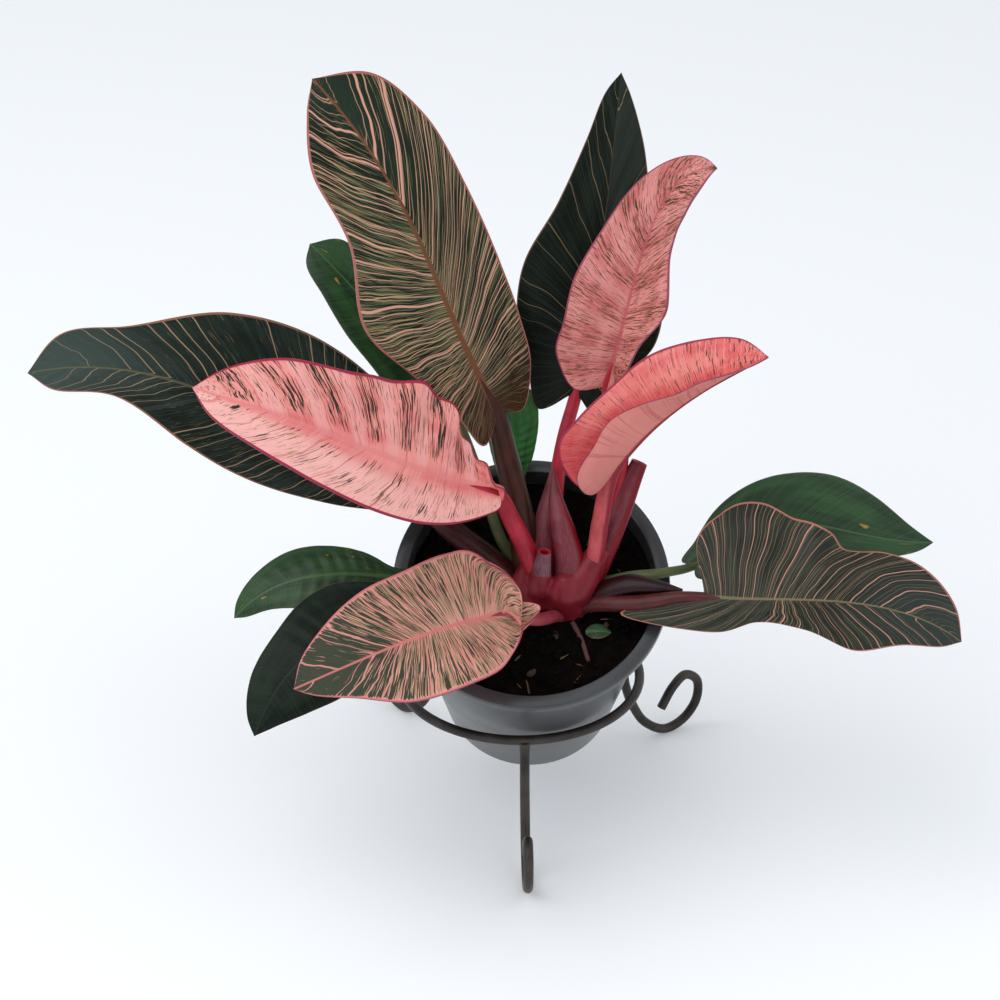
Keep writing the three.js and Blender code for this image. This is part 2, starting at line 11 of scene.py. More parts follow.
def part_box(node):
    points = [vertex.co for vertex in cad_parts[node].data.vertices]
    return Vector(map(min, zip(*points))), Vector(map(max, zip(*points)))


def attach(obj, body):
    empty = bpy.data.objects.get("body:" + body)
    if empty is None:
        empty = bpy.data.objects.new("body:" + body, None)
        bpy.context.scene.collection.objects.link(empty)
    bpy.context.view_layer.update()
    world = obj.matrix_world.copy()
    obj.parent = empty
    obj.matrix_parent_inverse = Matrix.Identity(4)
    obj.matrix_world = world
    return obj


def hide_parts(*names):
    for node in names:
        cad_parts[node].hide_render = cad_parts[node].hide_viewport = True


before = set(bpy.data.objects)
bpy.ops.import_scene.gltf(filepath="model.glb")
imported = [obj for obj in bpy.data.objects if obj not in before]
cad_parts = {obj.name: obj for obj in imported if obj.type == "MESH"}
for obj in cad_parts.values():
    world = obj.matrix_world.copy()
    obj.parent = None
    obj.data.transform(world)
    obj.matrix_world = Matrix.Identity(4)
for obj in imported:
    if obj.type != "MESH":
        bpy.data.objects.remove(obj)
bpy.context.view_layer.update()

# Camera: a 108 mm lens above the table's edge, tipped down 29 degrees, for the photograph's view.
# Places are measured from the floor under the middle of the stand's ring.
ring_low, ring_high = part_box("stand_ring")
ring_middle = (ring_low + ring_high) / 2
camera_tip = 29


def place(x, y, z):
    return Vector((ring_middle.x + x / 1000, ring_middle.y + y / 1000, z / 1000))


bpy.ops.object.camera_add(
    location=place(-9, -1160, 792), rotation=(math.radians(90 - camera_tip), 0, 0)
)
camera = bpy.context.object
camera.name = "camera"
camera.data.lens = 108
camera.data.sensor_width = 36
camera.data.clip_end = 20
bpy.context.scene.camera = camera
bpy.context.scene.view_settings.view_transform = "Standard"


# Floor: one sheet of white paper, wide enough to run on to the horizon.
# It is the stage, and no part of the plant.
floor_width_m = 60
floor_drop_m = 0.0004


def tint(code):
    """An sRGB hex colour turned linear"""
    channels = [int(code[i : i + 2], 16) / 255 for i in (1, 3, 5)]
    linear = [c / 12.92 if c <= 0.04045 else ((c + 0.055) / 1.055) ** 2.4 for c in channels]
    return (*linear, 1)


def wire(node, inputs):
    """Set a node's inputs, by name or in order, to plain values or to what another node gives"""
    for key, value in inputs.items() if isinstance(inputs, dict) else enumerate(inputs):
        if isinstance(value, bpy.types.Node):
            value = next(output for output in value.outputs if output.enabled)
        if isinstance(value, bpy.types.NodeSocket):
            node.id_data.links.new(value, node.inputs[key])
        else:
            node.inputs[key].default_value = value


def add(material, kind, inputs=(), **settings):
    """Add a node to a material, with its settings and its inputs"""
    node = material.node_tree.nodes.new("ShaderNode" + kind)
    for key, value in settings.items():
        setattr(node, key, value)
    wire(node, inputs)
    return node


def new_material(name):
    material = bpy.data.materials.new(name)
    material.use_nodes = True
    return material, material.node_tree.nodes["Principled BSDF"]


def only(*pieces):
    bpy.ops.object.select_all(action="DESELECT")
    for piece in pieces:
        piece.select_set(True)
    bpy.context.view_layer.objects.active = pieces[0]


def begin(name, primitive, **sizes):
    """Add one of Blender's primitives at its size and place, with nothing else selected"""
    bpy.ops.object.select_all(action="DESELECT")
    primitive(**sizes)
    piece = bpy.context.object
    piece.name = name
    bpy.ops.object.transform_apply(location=True, rotation=True, scale=True)
    return piece


# Uncoated paper: matt and even, lifted a little so that the floor stays pale between the shadows.
paper, shader = new_material("matt_white_paper")
white = tint("#eceef1")
wire(shader, {"Base Color": white, "Roughness": 0.6, "Emission Color": white, "Emission Strength": 0.2})
floor = begin(
    "paper_floor", bpy.ops.mesh.primitive_plane_add, size=floor_width_m, location=(0, 0, -floor_drop_m)
)
floor.data.materials.append(paper)


# Stand: a ring and three legs of 4.4 mm mild steel rod, bent cold and welded.
# It is blackened and oiled. The legs splay out and end in upright curls.
rod_radius = 2.2
ring_radius = 54.7
ring_height = 58.2
leg_bearings = {"front": -88, "right": 30, "left": 133}
leg_line = [
    (54.7, 57.5), (56, 46), (57.5, 34), (62, 21), (69, 9.5), (80.6, 1.95),
    (91, 4.5), (97.85, 13), (97.85, 24), (91, 29), (84.5, 24.5), (78, 14.5),
]
weld_swell = 0.9
weld_fade = 60
rod_end_radius = 1.7
patch_mm = 14
pit_mm = 1.1


def mottled(name, low, high, spot_mm, detail, start=0.0, end=1.0):
    """A material in two tones that drift into each other over spots of a given size"""
    material, shader = new_material(name)
    spot = add(material, "TexCoord").outputs["Object"]
    drift = add(material, "TexNoise", {"Vector": spot, "Scale": 1000 / spot_mm, "Detail": detail})
    colour = add(material, "ValToRGB", [drift])
    for stop, position, code in zip(colour.color_ramp.elements, (start, end), (low, high)):
        stop.position = position
        stop.color = tint(code)
    wire(shader, {"Base Color": colour})
    return material, shader, spot, drift


def edit(piece):
    only(piece)
    bpy.ops.object.mode_set(mode="EDIT")
    bpy.ops.mesh.select_all(action="SELECT")


def close_up(piece, merge_m=0.00001):
    edit(piece)
    bpy.ops.mesh.remove_doubles(threshold=merge_m)
    bpy.ops.mesh.normals_make_consistent(inside=False)
    bpy.ops.object.mode_set(mode="OBJECT")


def settle(piece, material, slot, *nodes):
    """Give a finished piece its one material, its body and the nodes that it replaces; its slot is not used
    """
    only(piece)
    bpy.ops.object.transform_apply(location=True, rotation=True, scale=True)
    if material:
        piece.data.materials.clear()
        piece.data.materials.append(material)
    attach(piece, "root")
    if nodes:
        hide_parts(*nodes)


def steps_between(points):
    return np.linalg.norm(np.diff(points, axis=0), axis=1)


def unit(rows):
    return rows / np.maximum(np.linalg.norm(rows, axis=-1, keepdims=True), 1e-9)


def line_through(points, t):
    """Places on a smooth line through points, at parts t of their number"""
    points = np.asarray(points, float)
    padded = np.vstack([2 * points[0] - points[1], points, 2 * points[-1] - points[-2]])
    spot = np.clip(t, 0, 1) * (len(points) - 1)
    span = np.minimum(spot.astype(int), len(points) - 2)
    p = [padded[span + k] for k in range(4)]
    gap = [np.linalg.norm(p[k + 1] - p[k], axis=1, keepdims=True) ** 0.5 for k in range(3)]
    first = gap[0]
    second = first + gap[1]
    third = second + gap[2]
    x = first + (spot - span)[:, None] * gap[1]
    a = (first - x) / first * p[0] + x / first * p[1]
    b = (second - x) / gap[1] * p[1] + (x - first) / gap[1] * p[2]
    c = (third - x) / gap[2] * p[2] + (x - second) / gap[2] * p[3]
    d = (second - x) / second * a + x / second * b
    e = (third - x) / (gap[1] + gap[2]) * b + (x - first) / (gap[1] + gap[2]) * c
    return (second - x) / gap[1] * d + (x - first) / gap[1] * e


def round_bar(name, path, rows, around=20, flat=1.0, upright=(0, 0, 1)):
    """A grid rolled round a path, in rows of (part of the path, radius), flattened from above"""
    part, radius = np.array(rows, float).T
    piece = begin(
        name,
        bpy.ops.mesh.primitive_grid_add,
        x_subdivisions=len(rows) - 1,
        y_subdivisions=around,
        size=2,
    )
    sheet = np.array([v.co for v in piece.data.vertices])
    row = np.rint((sheet[:, 0] + 1) / 2 * (len(rows) - 1)).astype(int)
    turn = np.pi * (sheet[:, 1] + 1)
    centre = line_through(path, part)
    step = 1e-3
    before, after = (line_through(path, np.clip(part + way, 0, 1)) for way in (-step, step))
    along = unit(after - before)
    upright = np.asarray(upright, float)
    up = unit(upright - (along @ upright)[:, None] * along)
    out = np.cross(up, along)
    length = np.concatenate([[0], np.cumsum(steps_between(centre))])
    r = radius[row][:, None]
    solid = centre[row] + out[row] * r * np.cos(turn)[:, None] + up[row] * r * flat * np.sin(turn)[:, None]
    for v, p in zip(piece.data.vertices, solid):
        v.co = place(*p)
    skin = piece.data.attributes.new("skin", "FLOAT_VECTOR", "POINT")
    skin.data.foreach_set("vector", np.column_stack([length[row], np.sin(turn), np.cos(turn)]).ravel())
    close_up(piece)
    only(piece)
    bpy.ops.object.shade_smooth_by_angle(angle=math.radians(50))
    return piece


# Blackened mild steel: brown-black patches, satin with duller rubs, so that highlights break up.
black_rod, shader, spot, patches = mottled(
    "blackened_steel_rod", "#2b2725", "#4e4742", patch_mm, 4, 0.35, 0.75
)
rubbed = add(black_rod, "MapRange", (patches, 0.3, 0.7, 0.36, 0.52))
grain = add(black_rod, "TexNoise", {"Vector": spot, "Scale": 1000 / pit_mm, "Detail": 3})
pits = add(black_rod, "Bump", {"Height": grain, "Strength": 0.12, "Distance": 0.0004})
wire(shader, {"Roughness": rubbed, "Normal": pits, "Metallic": 0.55})

ring = begin(
    "ring",
    bpy.ops.mesh.primitive_circle_add,
    vertices=24,
    radius=rod_radius / 1000,
    location=place(ring_radius, 0, ring_height),
    rotation=(math.pi / 2, 0, 0),
)
edit(ring)
bpy.ops.mesh.spin(steps=144, angle=2 * math.pi, center=place(0, 0, ring_height), axis=(0, 0, 1))
bpy.ops.object.mode_set(mode="OBJECT")
close_up(ring)
only(ring)
bpy.ops.object.shade_smooth()
settle(ring, black_rod, "stand_iron", "stand_ring")

for side, bearing in leg_bearings.items():
    turn = math.radians(bearing)
    path = [(r * math.cos(turn), r * math.sin(turn), z) for r, z in leg_line]
    rows = [(0, 0), (0, rod_radius + weld_swell)]
    rows += [(t, rod_radius + weld_swell * math.exp(-weld_fade * t)) for t in np.linspace(0.008, 1, 90)]
    rows += [(1, rod_end_radius), (1, 0)]
    leg = round_bar(f"leg_{side}", path, rows, 18, upright=(-math.sin(turn), math.cos(turn), 0))
    edit(leg)
    bpy.ops.mesh.bisect(
        plane_co=place(0, 0, 0),
        plane_no=(0, 0, 1),
        use_fill=True,
        clear_inner=True,
        threshold=0.000001,
    )
    bpy.ops.object.mode_set(mode="OBJECT")
    settle(leg, black_rod, "stand_iron", f"stand_leg_{side}")


# Pot: a thin-walled nursery pot, injection moulded in grey polypropylene.
# It leans 33 degrees toward the viewer, and its tapered side rests in the ring.
# It is shaped upright with its rim at height zero, and then tipped into place, like its soil.
rim_centre = place(4.6, -42.3, 132.3)
pot_tilt = math.radians(33)
pot_axis = np.array([0, -math.sin(pot_tilt), math.cos(pot_tilt)])
rim_radius = 60.0
neck_radius = 55.2
base_radius = 39.3
pot_height = 111.0
rim_depth = 4.5
pot_wall = 1.3
pot_floor = 1.6
drain_radius = 4
drain_circle = 27
haze_mm = 42
skin_mm = 0.7


def side_radius(depth):
    part = (pot_height - depth) / (pot_height - rim_depth)
    return base_radius + (neck_radius - base_radius) * part


def tip_pot(piece):
    piece.data.transform(Matrix.Translation(rim_centre) @ Matrix.Rotation(pot_tilt, 4, "X"))


inside_radius = neck_radius - pot_wall
pot_section = [
    (base_radius - 3.2, -pot_height + 1.1),
    (base_radius - 2.6, -pot_height),
    (base_radius - 1, -pot_height),
    (base_radius - 0.3, -pot_height + 0.3),
    (base_radius, -pot_height + 1),
    (side_radius(60), -60),
    (neck_radius - 0.1, -rim_depth - 0.7),
    (neck_radius + 0.5, -rim_depth),
    (rim_radius - 0.6, -rim_depth),
    (rim_radius - 0.15, -rim_depth + 0.2),
    (rim_radius, -rim_depth + 0.7),
    (rim_radius, -0.8),
    (rim_radius - 0.25, -0.25),
    (rim_radius - 0.8, 0),
    (inside_radius + 1, 0),
    (inside_radius + 0.3, -0.3),
    (inside_radius, -1),
    (inside_radius, -rim_depth),
    (side_radius(pot_height - pot_floor) - pot_wall, -pot_height + pot_floor),
]

# Injection-moulded polypropylene: even dark grey with a faint haze, so it shines softly.
moulded, shader, spot, haze = mottled(
    "moulded_grey_polypropylene", "#323436", "#45484b", haze_mm, 3, 0.3, 0.8
)
rough = add(moulded, "MapRange", (haze, 0.3, 0.7, 0.26, 0.36))
skin = add(moulded, "TexNoise", {"Vector": spot, "Scale": 1000 / skin_mm, "Detail": 2})
bump = add(moulded, "Bump", {"Height": skin, "Strength": 0.05, "Distance": 0.0002})
wire(shader, {"Roughness": rough, "Normal": bump, "IOR": 1.49})

pot = begin(
    "nursery_pot",
    bpy.ops.mesh.primitive_circle_add,
    vertices=128,
    radius=pot_section[0][0] / 1000,
    fill_type="NGON",
    location=(0, 0, pot_section[0][1] / 1000),
)
edit(pot)
for (r0, z0), (r1, z1) in zip(pot_section, pot_section[1:]):
    bpy.ops.mesh.extrude_region_move(TRANSFORM_OT_translate={"value": (0, 0, (z1 - z0) / 1000)})
    bpy.ops.transform.resize(value=(r1 / r0, r1 / r0, 1), center_override=(0, 0, z1 / 1000))
bpy.ops.object.mode_set(mode="OBJECT")
only(pot)
bpy.ops.object.shade_smooth_by_angle(angle=math.radians(40))

drills = []
for number in range(6):
    angle = number * math.pi / 3
    x, y = drain_circle * math.cos(angle) / 1000, drain_circle * math.sin(angle) / 1000
    drills.append(
        begin(
            "drill",
            bpy.ops.mesh.primitive_cylinder_add,
            vertices=24,
            radius=drain_radius / 1000,
            depth=0.02,
            location=(x, y, -pot_height / 1000),
        )
    )
only(*drills)
bpy.ops.object.join()
only(pot)
cut = pot.modifiers.new("drain_holes", "BOOLEAN")
cut.object = drills[0]
cut.operation = "DIFFERENCE"
bpy.ops.object.modifier_apply(modifier=cut.name)
bpy.data.objects.remove(drills[0])
close_up(pot, 0.000002)
tip_pot(pot)
settle(pot, moulded, "pot_plastic", "pot")


# Soil: damp black peat with chips of bark and bits of straw, filled to 9.5 mm under the rim.
# A lumpy skin over a plug that narrows with the pot, with crumbs strewn over it.
soil_depth = 9.5
soil_radius = side_radius(soil_depth) - pot_wall - 0.4
plug_depth = 90
plug_radius = side_radius(plug_depth) - 2
soil_rings = 30
lump_mm = 22
lump_height = 5
crumble_mm = 6
crumble_height = 4
chip_depth = 2.2
clump_mm = 4
fibre_mm = 0.9
bark_grain_mm = 2.4
straw_fibre_mm = 2
seedling_spot = (29, -20)
seedling_room = 8
rng = random.Random(7)

# Damp peat: near-black and dull, with fibres that catch a little light.
peat, shader, spot, _ = mottled("damp_black_peat", "#050302", "#18100b", clump_mm, 6, 0.35, 0.8)
fibres = add(peat, "TexNoise", {"Vector": spot, "Scale": 1000 / fibre_mm, "Detail": 4})
bump = add(peat, "Bump", {"Height": fibres, "Strength": 1.0, "Distance": 0.002})
wire(shader, {"Normal": bump, "Roughness": 0.85, "Specular IOR Level": 0.08})

soil = begin(
    "peat",
    bpy.ops.mesh.primitive_circle_add,
    vertices=96,
    radius=plug_radius / 1000,
    fill_type="NGON",
    location=(0, 0, -plug_depth / 1000),
)
edit(soil)
rise = (plug_depth - soil_depth) / 1000
bpy.ops.mesh.extrude_region_move(TRANSFORM_OT_translate={"value": (0, 0, rise)})
wider = soil_radius / plug_radius
bpy.ops.transform.resize(value=(wider, wider, 1), center_override=(0, 0, -soil_depth / 1000))
for _ in range(soil_rings):
    bpy.ops.mesh.inset(thickness=soil_radius / (soil_rings + 1) / 1000)
bpy.ops.mesh.poke()
bpy.ops.object.mode_set(mode="OBJECT")
crumble = bpy.data.textures.new("crumble", "CLOUDS")
crumble.noise_scale = crumble_mm / 1000
crumble.noise_depth = 4
lumps = bpy.data.textures.new("lumps", "CLOUDS")
lumps.noise_scale = lump_mm / 1000
lumps.noise_depth = 2
top = soil.vertex_groups.new(name="top")
for v in soil.data.vertices:
    reach = math.hypot(v.co.x, v.co.y) * 1000
    if v.co.z > -0.02 and reach < soil_radius - 0.5:
        top.add([v.index], min(1, (soil_radius - reach) / 3), "REPLACE")
only(soil)
for texture, height in ((lumps, lump_height), (crumble, crumble_height)):
    raise_up = soil.modifiers.new(texture.name, "DISPLACE")
    raise_up.texture = texture
    raise_up.texture_coords = "LOCAL"
    raise_up.direction = "Z"
    raise_up.vertex_group = "top"
    raise_up.strength = height / 1000
    raise_up.mid_level = 0.5
    bpy.ops.object.modifier_apply(modifier=raise_up.name)
only(soil)
bpy.ops.object.shade_smooth()
close_up(soil, 0.000002)
tip_pot(soil)
settle(soil, peat, "soil", "soil")


def scatter(name, count, sizes, reach, material):
    """Lumps of given half sizes, strewn over the soil, with few of them near the seedling.
    The first lump's place stays on the object until it settles, which shifts them all
    by 5.2 mm toward the front and 1.5 mm up from the soil"""
    lump = bpy.ops.mesh.primitive_ico_sphere_add
    bpy.ops.object.select_all(action="DESELECT")
    lump(subdivisions=2, radius=0.001, location=(0, 0, -soil_depth / 1000))
    piece = bpy.context.object
    piece.name = name
    edit(piece)
    for number in range(count):
        turn = rng.uniform(0, math.tau)
        far = math.sqrt(rng.uniform(0.02, 1)) * reach
        grow_by = rng.uniform(0.45, 1.25)
        x, y = far * math.cos(turn), far * math.sin(turn)
        if math.hypot(x - seedling_spot[0], y - seedling_spot[1]) < seedling_room:
            continue
        bpy.ops.mesh.select_all(action="DESELECT")
        lump(
            subdivisions=2,
            radius=0.001,
            location=(x / 1000, y / 1000, -soil_depth / 1000 + rng.uniform(0.0003, 0.0012)),
            rotation=(rng.uniform(-0.4, 0.4), rng.uniform(-0.4, 0.4), rng.uniform(0, math.tau)),
            scale=[size * grow_by * rng.uniform(0.75, 1.3) for size in sizes],
        )
    bpy.ops.object.mode_set(mode="OBJECT")
    only(piece)
    chip = piece.modifiers.new("chip", "DISPLACE")
    chip.texture = crumble
    chip.texture_coords = "LOCAL"
    chip.strength = chip_depth / 1000
    bpy.ops.object.modifier_apply(modifier=chip.name)
    bpy.ops.object.shade_smooth()
    tip_pot(piece)
    settle(piece, material, "soil")


# Dry pine bark and straw: dull brown and tan specks against the black.
bark_chip, shader, *_ = mottled("dry_bark_chips", "#1a0f09", "#47301e", bark_grain_mm, 4, 0.35, 0.75)
wire(shader, {"Roughness": 0.8})
straw, shader, *_ = mottled("dry_straw_bits", "#3f2c1b", "#735735", straw_fibre_mm, 2)
wire(shader, {"Roughness": 0.65})
scatter("peat_crumbs", 320, (1.4, 1.1, 0.9), soil_radius - 3, peat)
scatter("bark_chips", 26, (1.9, 1.2, 0.6), soil_radius - 4, bark_chip)
scatter("straw_bits", 18, (3.8, 0.35, 0.3), soil_radius - 5, straw)


# Crown: the short fleshy stem at the soil, where all the stalks come out.
# It is living tissue: four swellings, each a path and its radii, grown into one.
crown_limbs = [
    ([(19, -31, 102), (20, -38, 113), (20, -44, 124), (19.5, -48, 133), (19, -50, 140)], [5, 8, 10, 8.6, 3]),
    ([(20, -44, 121), (23, -46.5, 130), (29, -44, 139), (35, -40, 148)], [6, 8.4, 6.8, 4.6]),
    ([(6, -42, 124), (7.4, -46, 132), (8.7, -47.6, 141)], [6, 6.3, 4.4]),
    ([(17, -31, 104), (9, -37, 115), (5, -42, 124), (4, -42, 133), (4, -42, 141)], [5, 6.5, 8, 8.2, 4]),
]
weld_voxel = 0.7
flesh_mottle_mm = 11
flesh_fibre_mm = 0.5


def tapered(radii, count, end_closed=True):
    """Rows for round_bar, with the radii spaced evenly and the ends closed"""
    part = np.linspace(0, 1, count)
    spot = part * (len(radii) - 1)
    low = np.minimum(spot.astype(int), len(radii) - 2)
    f = spot - low
    radius = np.array(radii)[low] * (1 - f) + np.array(radii)[low + 1] * f
    rows = [(0, 0), *zip(part, radius)]
    return rows + [(1, 0)] if end_closed else rows


def paint(made, last, share, code):
    """Lay a colour over the last one, as much as share says"""
    return add(made, "Mix", {0: share, 6: last, 7: tint(code)}, data_type="RGBA")


def flesh(name, low, high, streak, underside=None, side=None, rough=0.34, wax=0.08):
    """Smooth waxy plant tissue: two mottled tones with fine fibres along it.
    The underside may be paler, and one side may turn to a colour: (colour, start, full)"""
    made, shader = new_material(name)
    skin = add(made, "Attribute", attribute_name="skin").outputs["Vector"]
    parts = add(made, "SeparateXYZ", [skin])
    spot = add(made, "TexCoord").outputs["Object"]
    mottle = add(made, "TexNoise", {"Vector": spot, "Scale": 1000 / flesh_mottle_mm, "Detail": 4})
    stretch = add(made, "VectorMath", (skin, (0.02, 1, 1)), operation="MULTIPLY")
    fibre = add(made, "TexNoise", {"Vector": stretch, "Scale": 6.0 / flesh_fibre_mm, "Detail": 3})
    tone = add(made, "MapRange", (mottle, 0.35, 0.68))
    last = add(made, "Mix", {0: tone, 6: tint(low), 7: tint(high)}, data_type="RGBA")
    last = paint(made, last, add(made, "MapRange", (fibre, 0.45, 0.8, 0, 0.55)), streak)
    if underside:
        below = add(made, "MapRange", (parts.outputs["Y"], -0.1, -0.7))
        last = paint(made, last, below, underside)
    if side:
        code, start, full = side
        where = add(made, "MapRange", (parts.outputs["Z"], start, full), interpolation_type="SMOOTHSTEP")
        last = paint(made, last, where, code)
    dull = add(made, "MapRange", (mottle, 0, 1, rough - 0.06, rough + 0.1))
    bump = add(made, "Bump", {"Height": fibre, "Strength": 0.25, "Distance": 0.0003})
    wire(shader, {"Base Color": last, "Roughness": dull, "Normal": bump, "Specular IOR Level": 0.22})
    wire(shader, {"Coat Weight": wax, "Coat Roughness": 0.35})
    return made


# Crown flesh: crimson with fine lighter fibres, under a thin wax.
crown_flesh = flesh("waxy_crown_flesh", "#640c18", "#84202e", "#954048")
limbs = [
    round_bar(f"crown_{number}", path, tapered(radii, 24), 24, upright=pot_axis)
    for number, (path, radii) in enumerate(crown_limbs)
]
only(*limbs)
bpy.ops.object.join()
crown = limbs[0]
crown.name = "crown_flesh"
weld = crown.modifiers.new("weld", "REMESH")
weld.mode = "VOXEL"
weld.voxel_size = weld_voxel / 1000
soften = crown.modifiers.new("soften", "SMOOTH")
soften.iterations = 8
only(crown)
bpy.ops.object.modifier_apply(modifier="weld")
bpy.ops.object.modifier_apply(modifier="soften")
bpy.ops.object.shade_smooth()
settle(crown, crown_flesh, "crown", "crown")


# Sheaths: the thin leaf bases and scale leaves that wrap the crown, two of them cut back.
# Each is a path, its radii, how flat it is and, where it is cut, the part from which it is hollow.
sheaths = {
    "sheath_middle": (
        [(21, -46, 127), (21, -44, 143), (18, -40, 157), (15, -32, 168), (14, -25, 177)],
        [6.8, 6.4, 5.2, 3, 0.7], 0.8, None,
    ),
    "sheath_left": (
        [(10, -41, 128), (10, -36, 142), (11, -28, 155), (13, -20, 165), (14, -15, 174)],
        [6, 6.2, 5, 3, 0.7], 0.7, None,
    ),
    "sheath_right": (
        [(25, -44, 127), (33, -40, 141), (42, -32, 159), (48, -26, 174), (51, -24, 181)],
        [6.4, 6.2, 5, 4.2, 3.6], 0.75, 0.5,
    ),
    "sheath_stub": ([(8, -47, 130), (9, -48, 142), (10, -49, 151)], [5, 4, 2.8], 0.9, 0.8),
    "sheath_low": (
        [(30, -46, 127), (47, -51, 136), (59, -55, 137), (69, -58, 137)],
        [5, 4.6, 3, 0.7], 0.7, None,
    ),
}
wet_spot_mm = 3.3

# Sheath skins: mauve with a crimson edge, grey with a dry bloom, or dark maroon.
crimson_side = ("#740a1a", -0.35, -0.7)
sheath_skin = flesh("mauve_sheath_skin", "#5b1a26", "#7e3742", "#8a5058", side=crimson_side, rough=0.33)
sheath_bloom = flesh("grey_bloomed_sheath_skin", "#5c1a28", "#7d5560", "#94848a", rough=0.5, wax=0.0)
sheath_dark = flesh("maroon_sheath_skin", "#1b0508", "#2c0a0e", "#3c1216", rough=0.3)
# Cut flesh: wet and bright crimson.
cut_flesh, shader, *_ = mottled("cut_crimson_flesh", "#70081c", "#b81834", wet_spot_mm, 3)
wire(shader, {"Roughness": 0.3})

for name, (path, radii, flatness, hollow_from) in sheaths.items():
    rows = tapered(radii, 40, end_closed=hollow_from is None)
    if hollow_from:
        rim = radii[-1]
        rows += [(1, rim * 0.92), (0.992, rim * 0.74)]
        rows += [(t, rim * 0.66) for t in np.linspace(0.96, hollow_from, 8)]
        rows += [(hollow_from, 0)]
    piece = round_bar(name + "_skin", path, rows, 28, flatness, pot_axis)
    skin = {"sheath_low": sheath_dark, "sheath_stub": sheath_bloom}.get(name, sheath_skin)
    settle(piece, skin, "sheath", name)
    if hollow_from:
        piece.data.materials.append(cut_flesh)
        outside = steps_between(line_through(path, np.linspace(0, 1, 400))).sum() - 0.3
        reach = np.zeros(len(piece.data.vertices) * 3)
        piece.data.attributes["skin"].data.foreach_get("vector", reach)
        reach = reach[::3]
        for face in piece.data.polygons:
            if min(reach[v] for v in face.vertices) > outside:
                face.material_index = 1


# The tall striped leaf and its stalk, which set the way that every leaf here is made:
# a grid bent to the blade, its ribs running from the midrib to the margin, thickened,
# on a stalk that runs on under it as the midrib's keel.
blade_thickness = 0.7
stations = (0.06, 0.2, 0.38, 0.58, 0.78, 0.93)
groove_width = 1.3
keel_end = 0.93


def half(widths, ear, lift=(0, 0, 0, 0), curl=(-20, -20, -20, -20), **more):
    """Half a blade: its widths, how far its ear reaches back and out, and its slope and bend in degrees"""
    return {"widths": widths, "ear": ear, "lift": lift, "curl": curl, **more}


tall_striped = {
    "spine": [(-10, -23, 205), (-32, -23, 257), (-53, -14, 303), (-87, 14, 341)],
    "left": half(
        [18, 26, 38, 29, 27, 12], (8, 14), [10, 10, 8, 0], [-20, -10, 0, -10],
        ribs=(0.72, 1.05, 9, 0.4),
    ),
    "right": half(
        [23, 27, 28, 28, 28, 22], (6, 10), [10, 10, 8, 0], [-10, -5, 0, -15],
        ribs=(0.55, 1.25, 9, 0.5),
    ),
    "stalk": ([(6, -34, 128), (4, -35, 134), (0, -30, 156), (-6, -24, 182)], [6, 7, 6.2, 5.4, 4.6]),
}


def spine_through(points, t):
    """The cubic line through four points"""
    x = 3 * np.asarray(t, float)[:, None]
    a, b, c, d = np.asarray(points, float)
    return (
        -(x - 1) * (x - 2) * (x - 3) / 6 * a
        + x * (x - 2) * (x - 3) / 2 * b
        - x * (x - 1) * (x - 3) / 2 * c
        + x * (x - 1) * (x - 2) / 6 * d
    )


def along_spine(points, x):
    """Places and directions at distances from the blade's base, straight on past both ends"""
    even = np.linspace(0, 1, 401)
    way = np.concatenate([[0], np.cumsum(steps_between(spine_through(points, even)))])
    t = np.interp(x, way, even)
    step = 1e-3
    ahead = spine_through(points, np.minimum(t + step, 1)) - spine_through(points, np.maximum(t - step, 0))
    along = unit(ahead)
    past = np.minimum(x, 0) + np.maximum(x - way[-1], 0)
    return spine_through(points, t) + along * past[:, None], along, way[-1]


def eased(values, part):
    spot = np.clip(part, 0, 1) * (len(values) - 1)
    low = np.minimum(spot.astype(int), len(values) - 2)
    f = spot - low
    f = f * f * (3 - 2 * f)
    values = np.asarray(values, float)
    return values[low] * (1 - f) + values[low + 1] * f


def half_outline(form, length, t):
    """Places on the margin of half a blade, from the notch at its base to its tip"""
    corners = [(0, 0, 0), (-form["ear"][0], form["ear"][1], 0)]
    corners += [(s * length, w, 0) for s, w in zip(form.get("stations", stations), form["widths"])]
    corners.append((length, 0, 0))
    fine = line_through(corners, np.linspace(0, 1, 321))
    way = np.concatenate([[0], np.cumsum(steps_between(fine))])
    return np.column_stack([np.interp(t * way[-1], way, fine[:, axis]) for axis in (0, 1)])


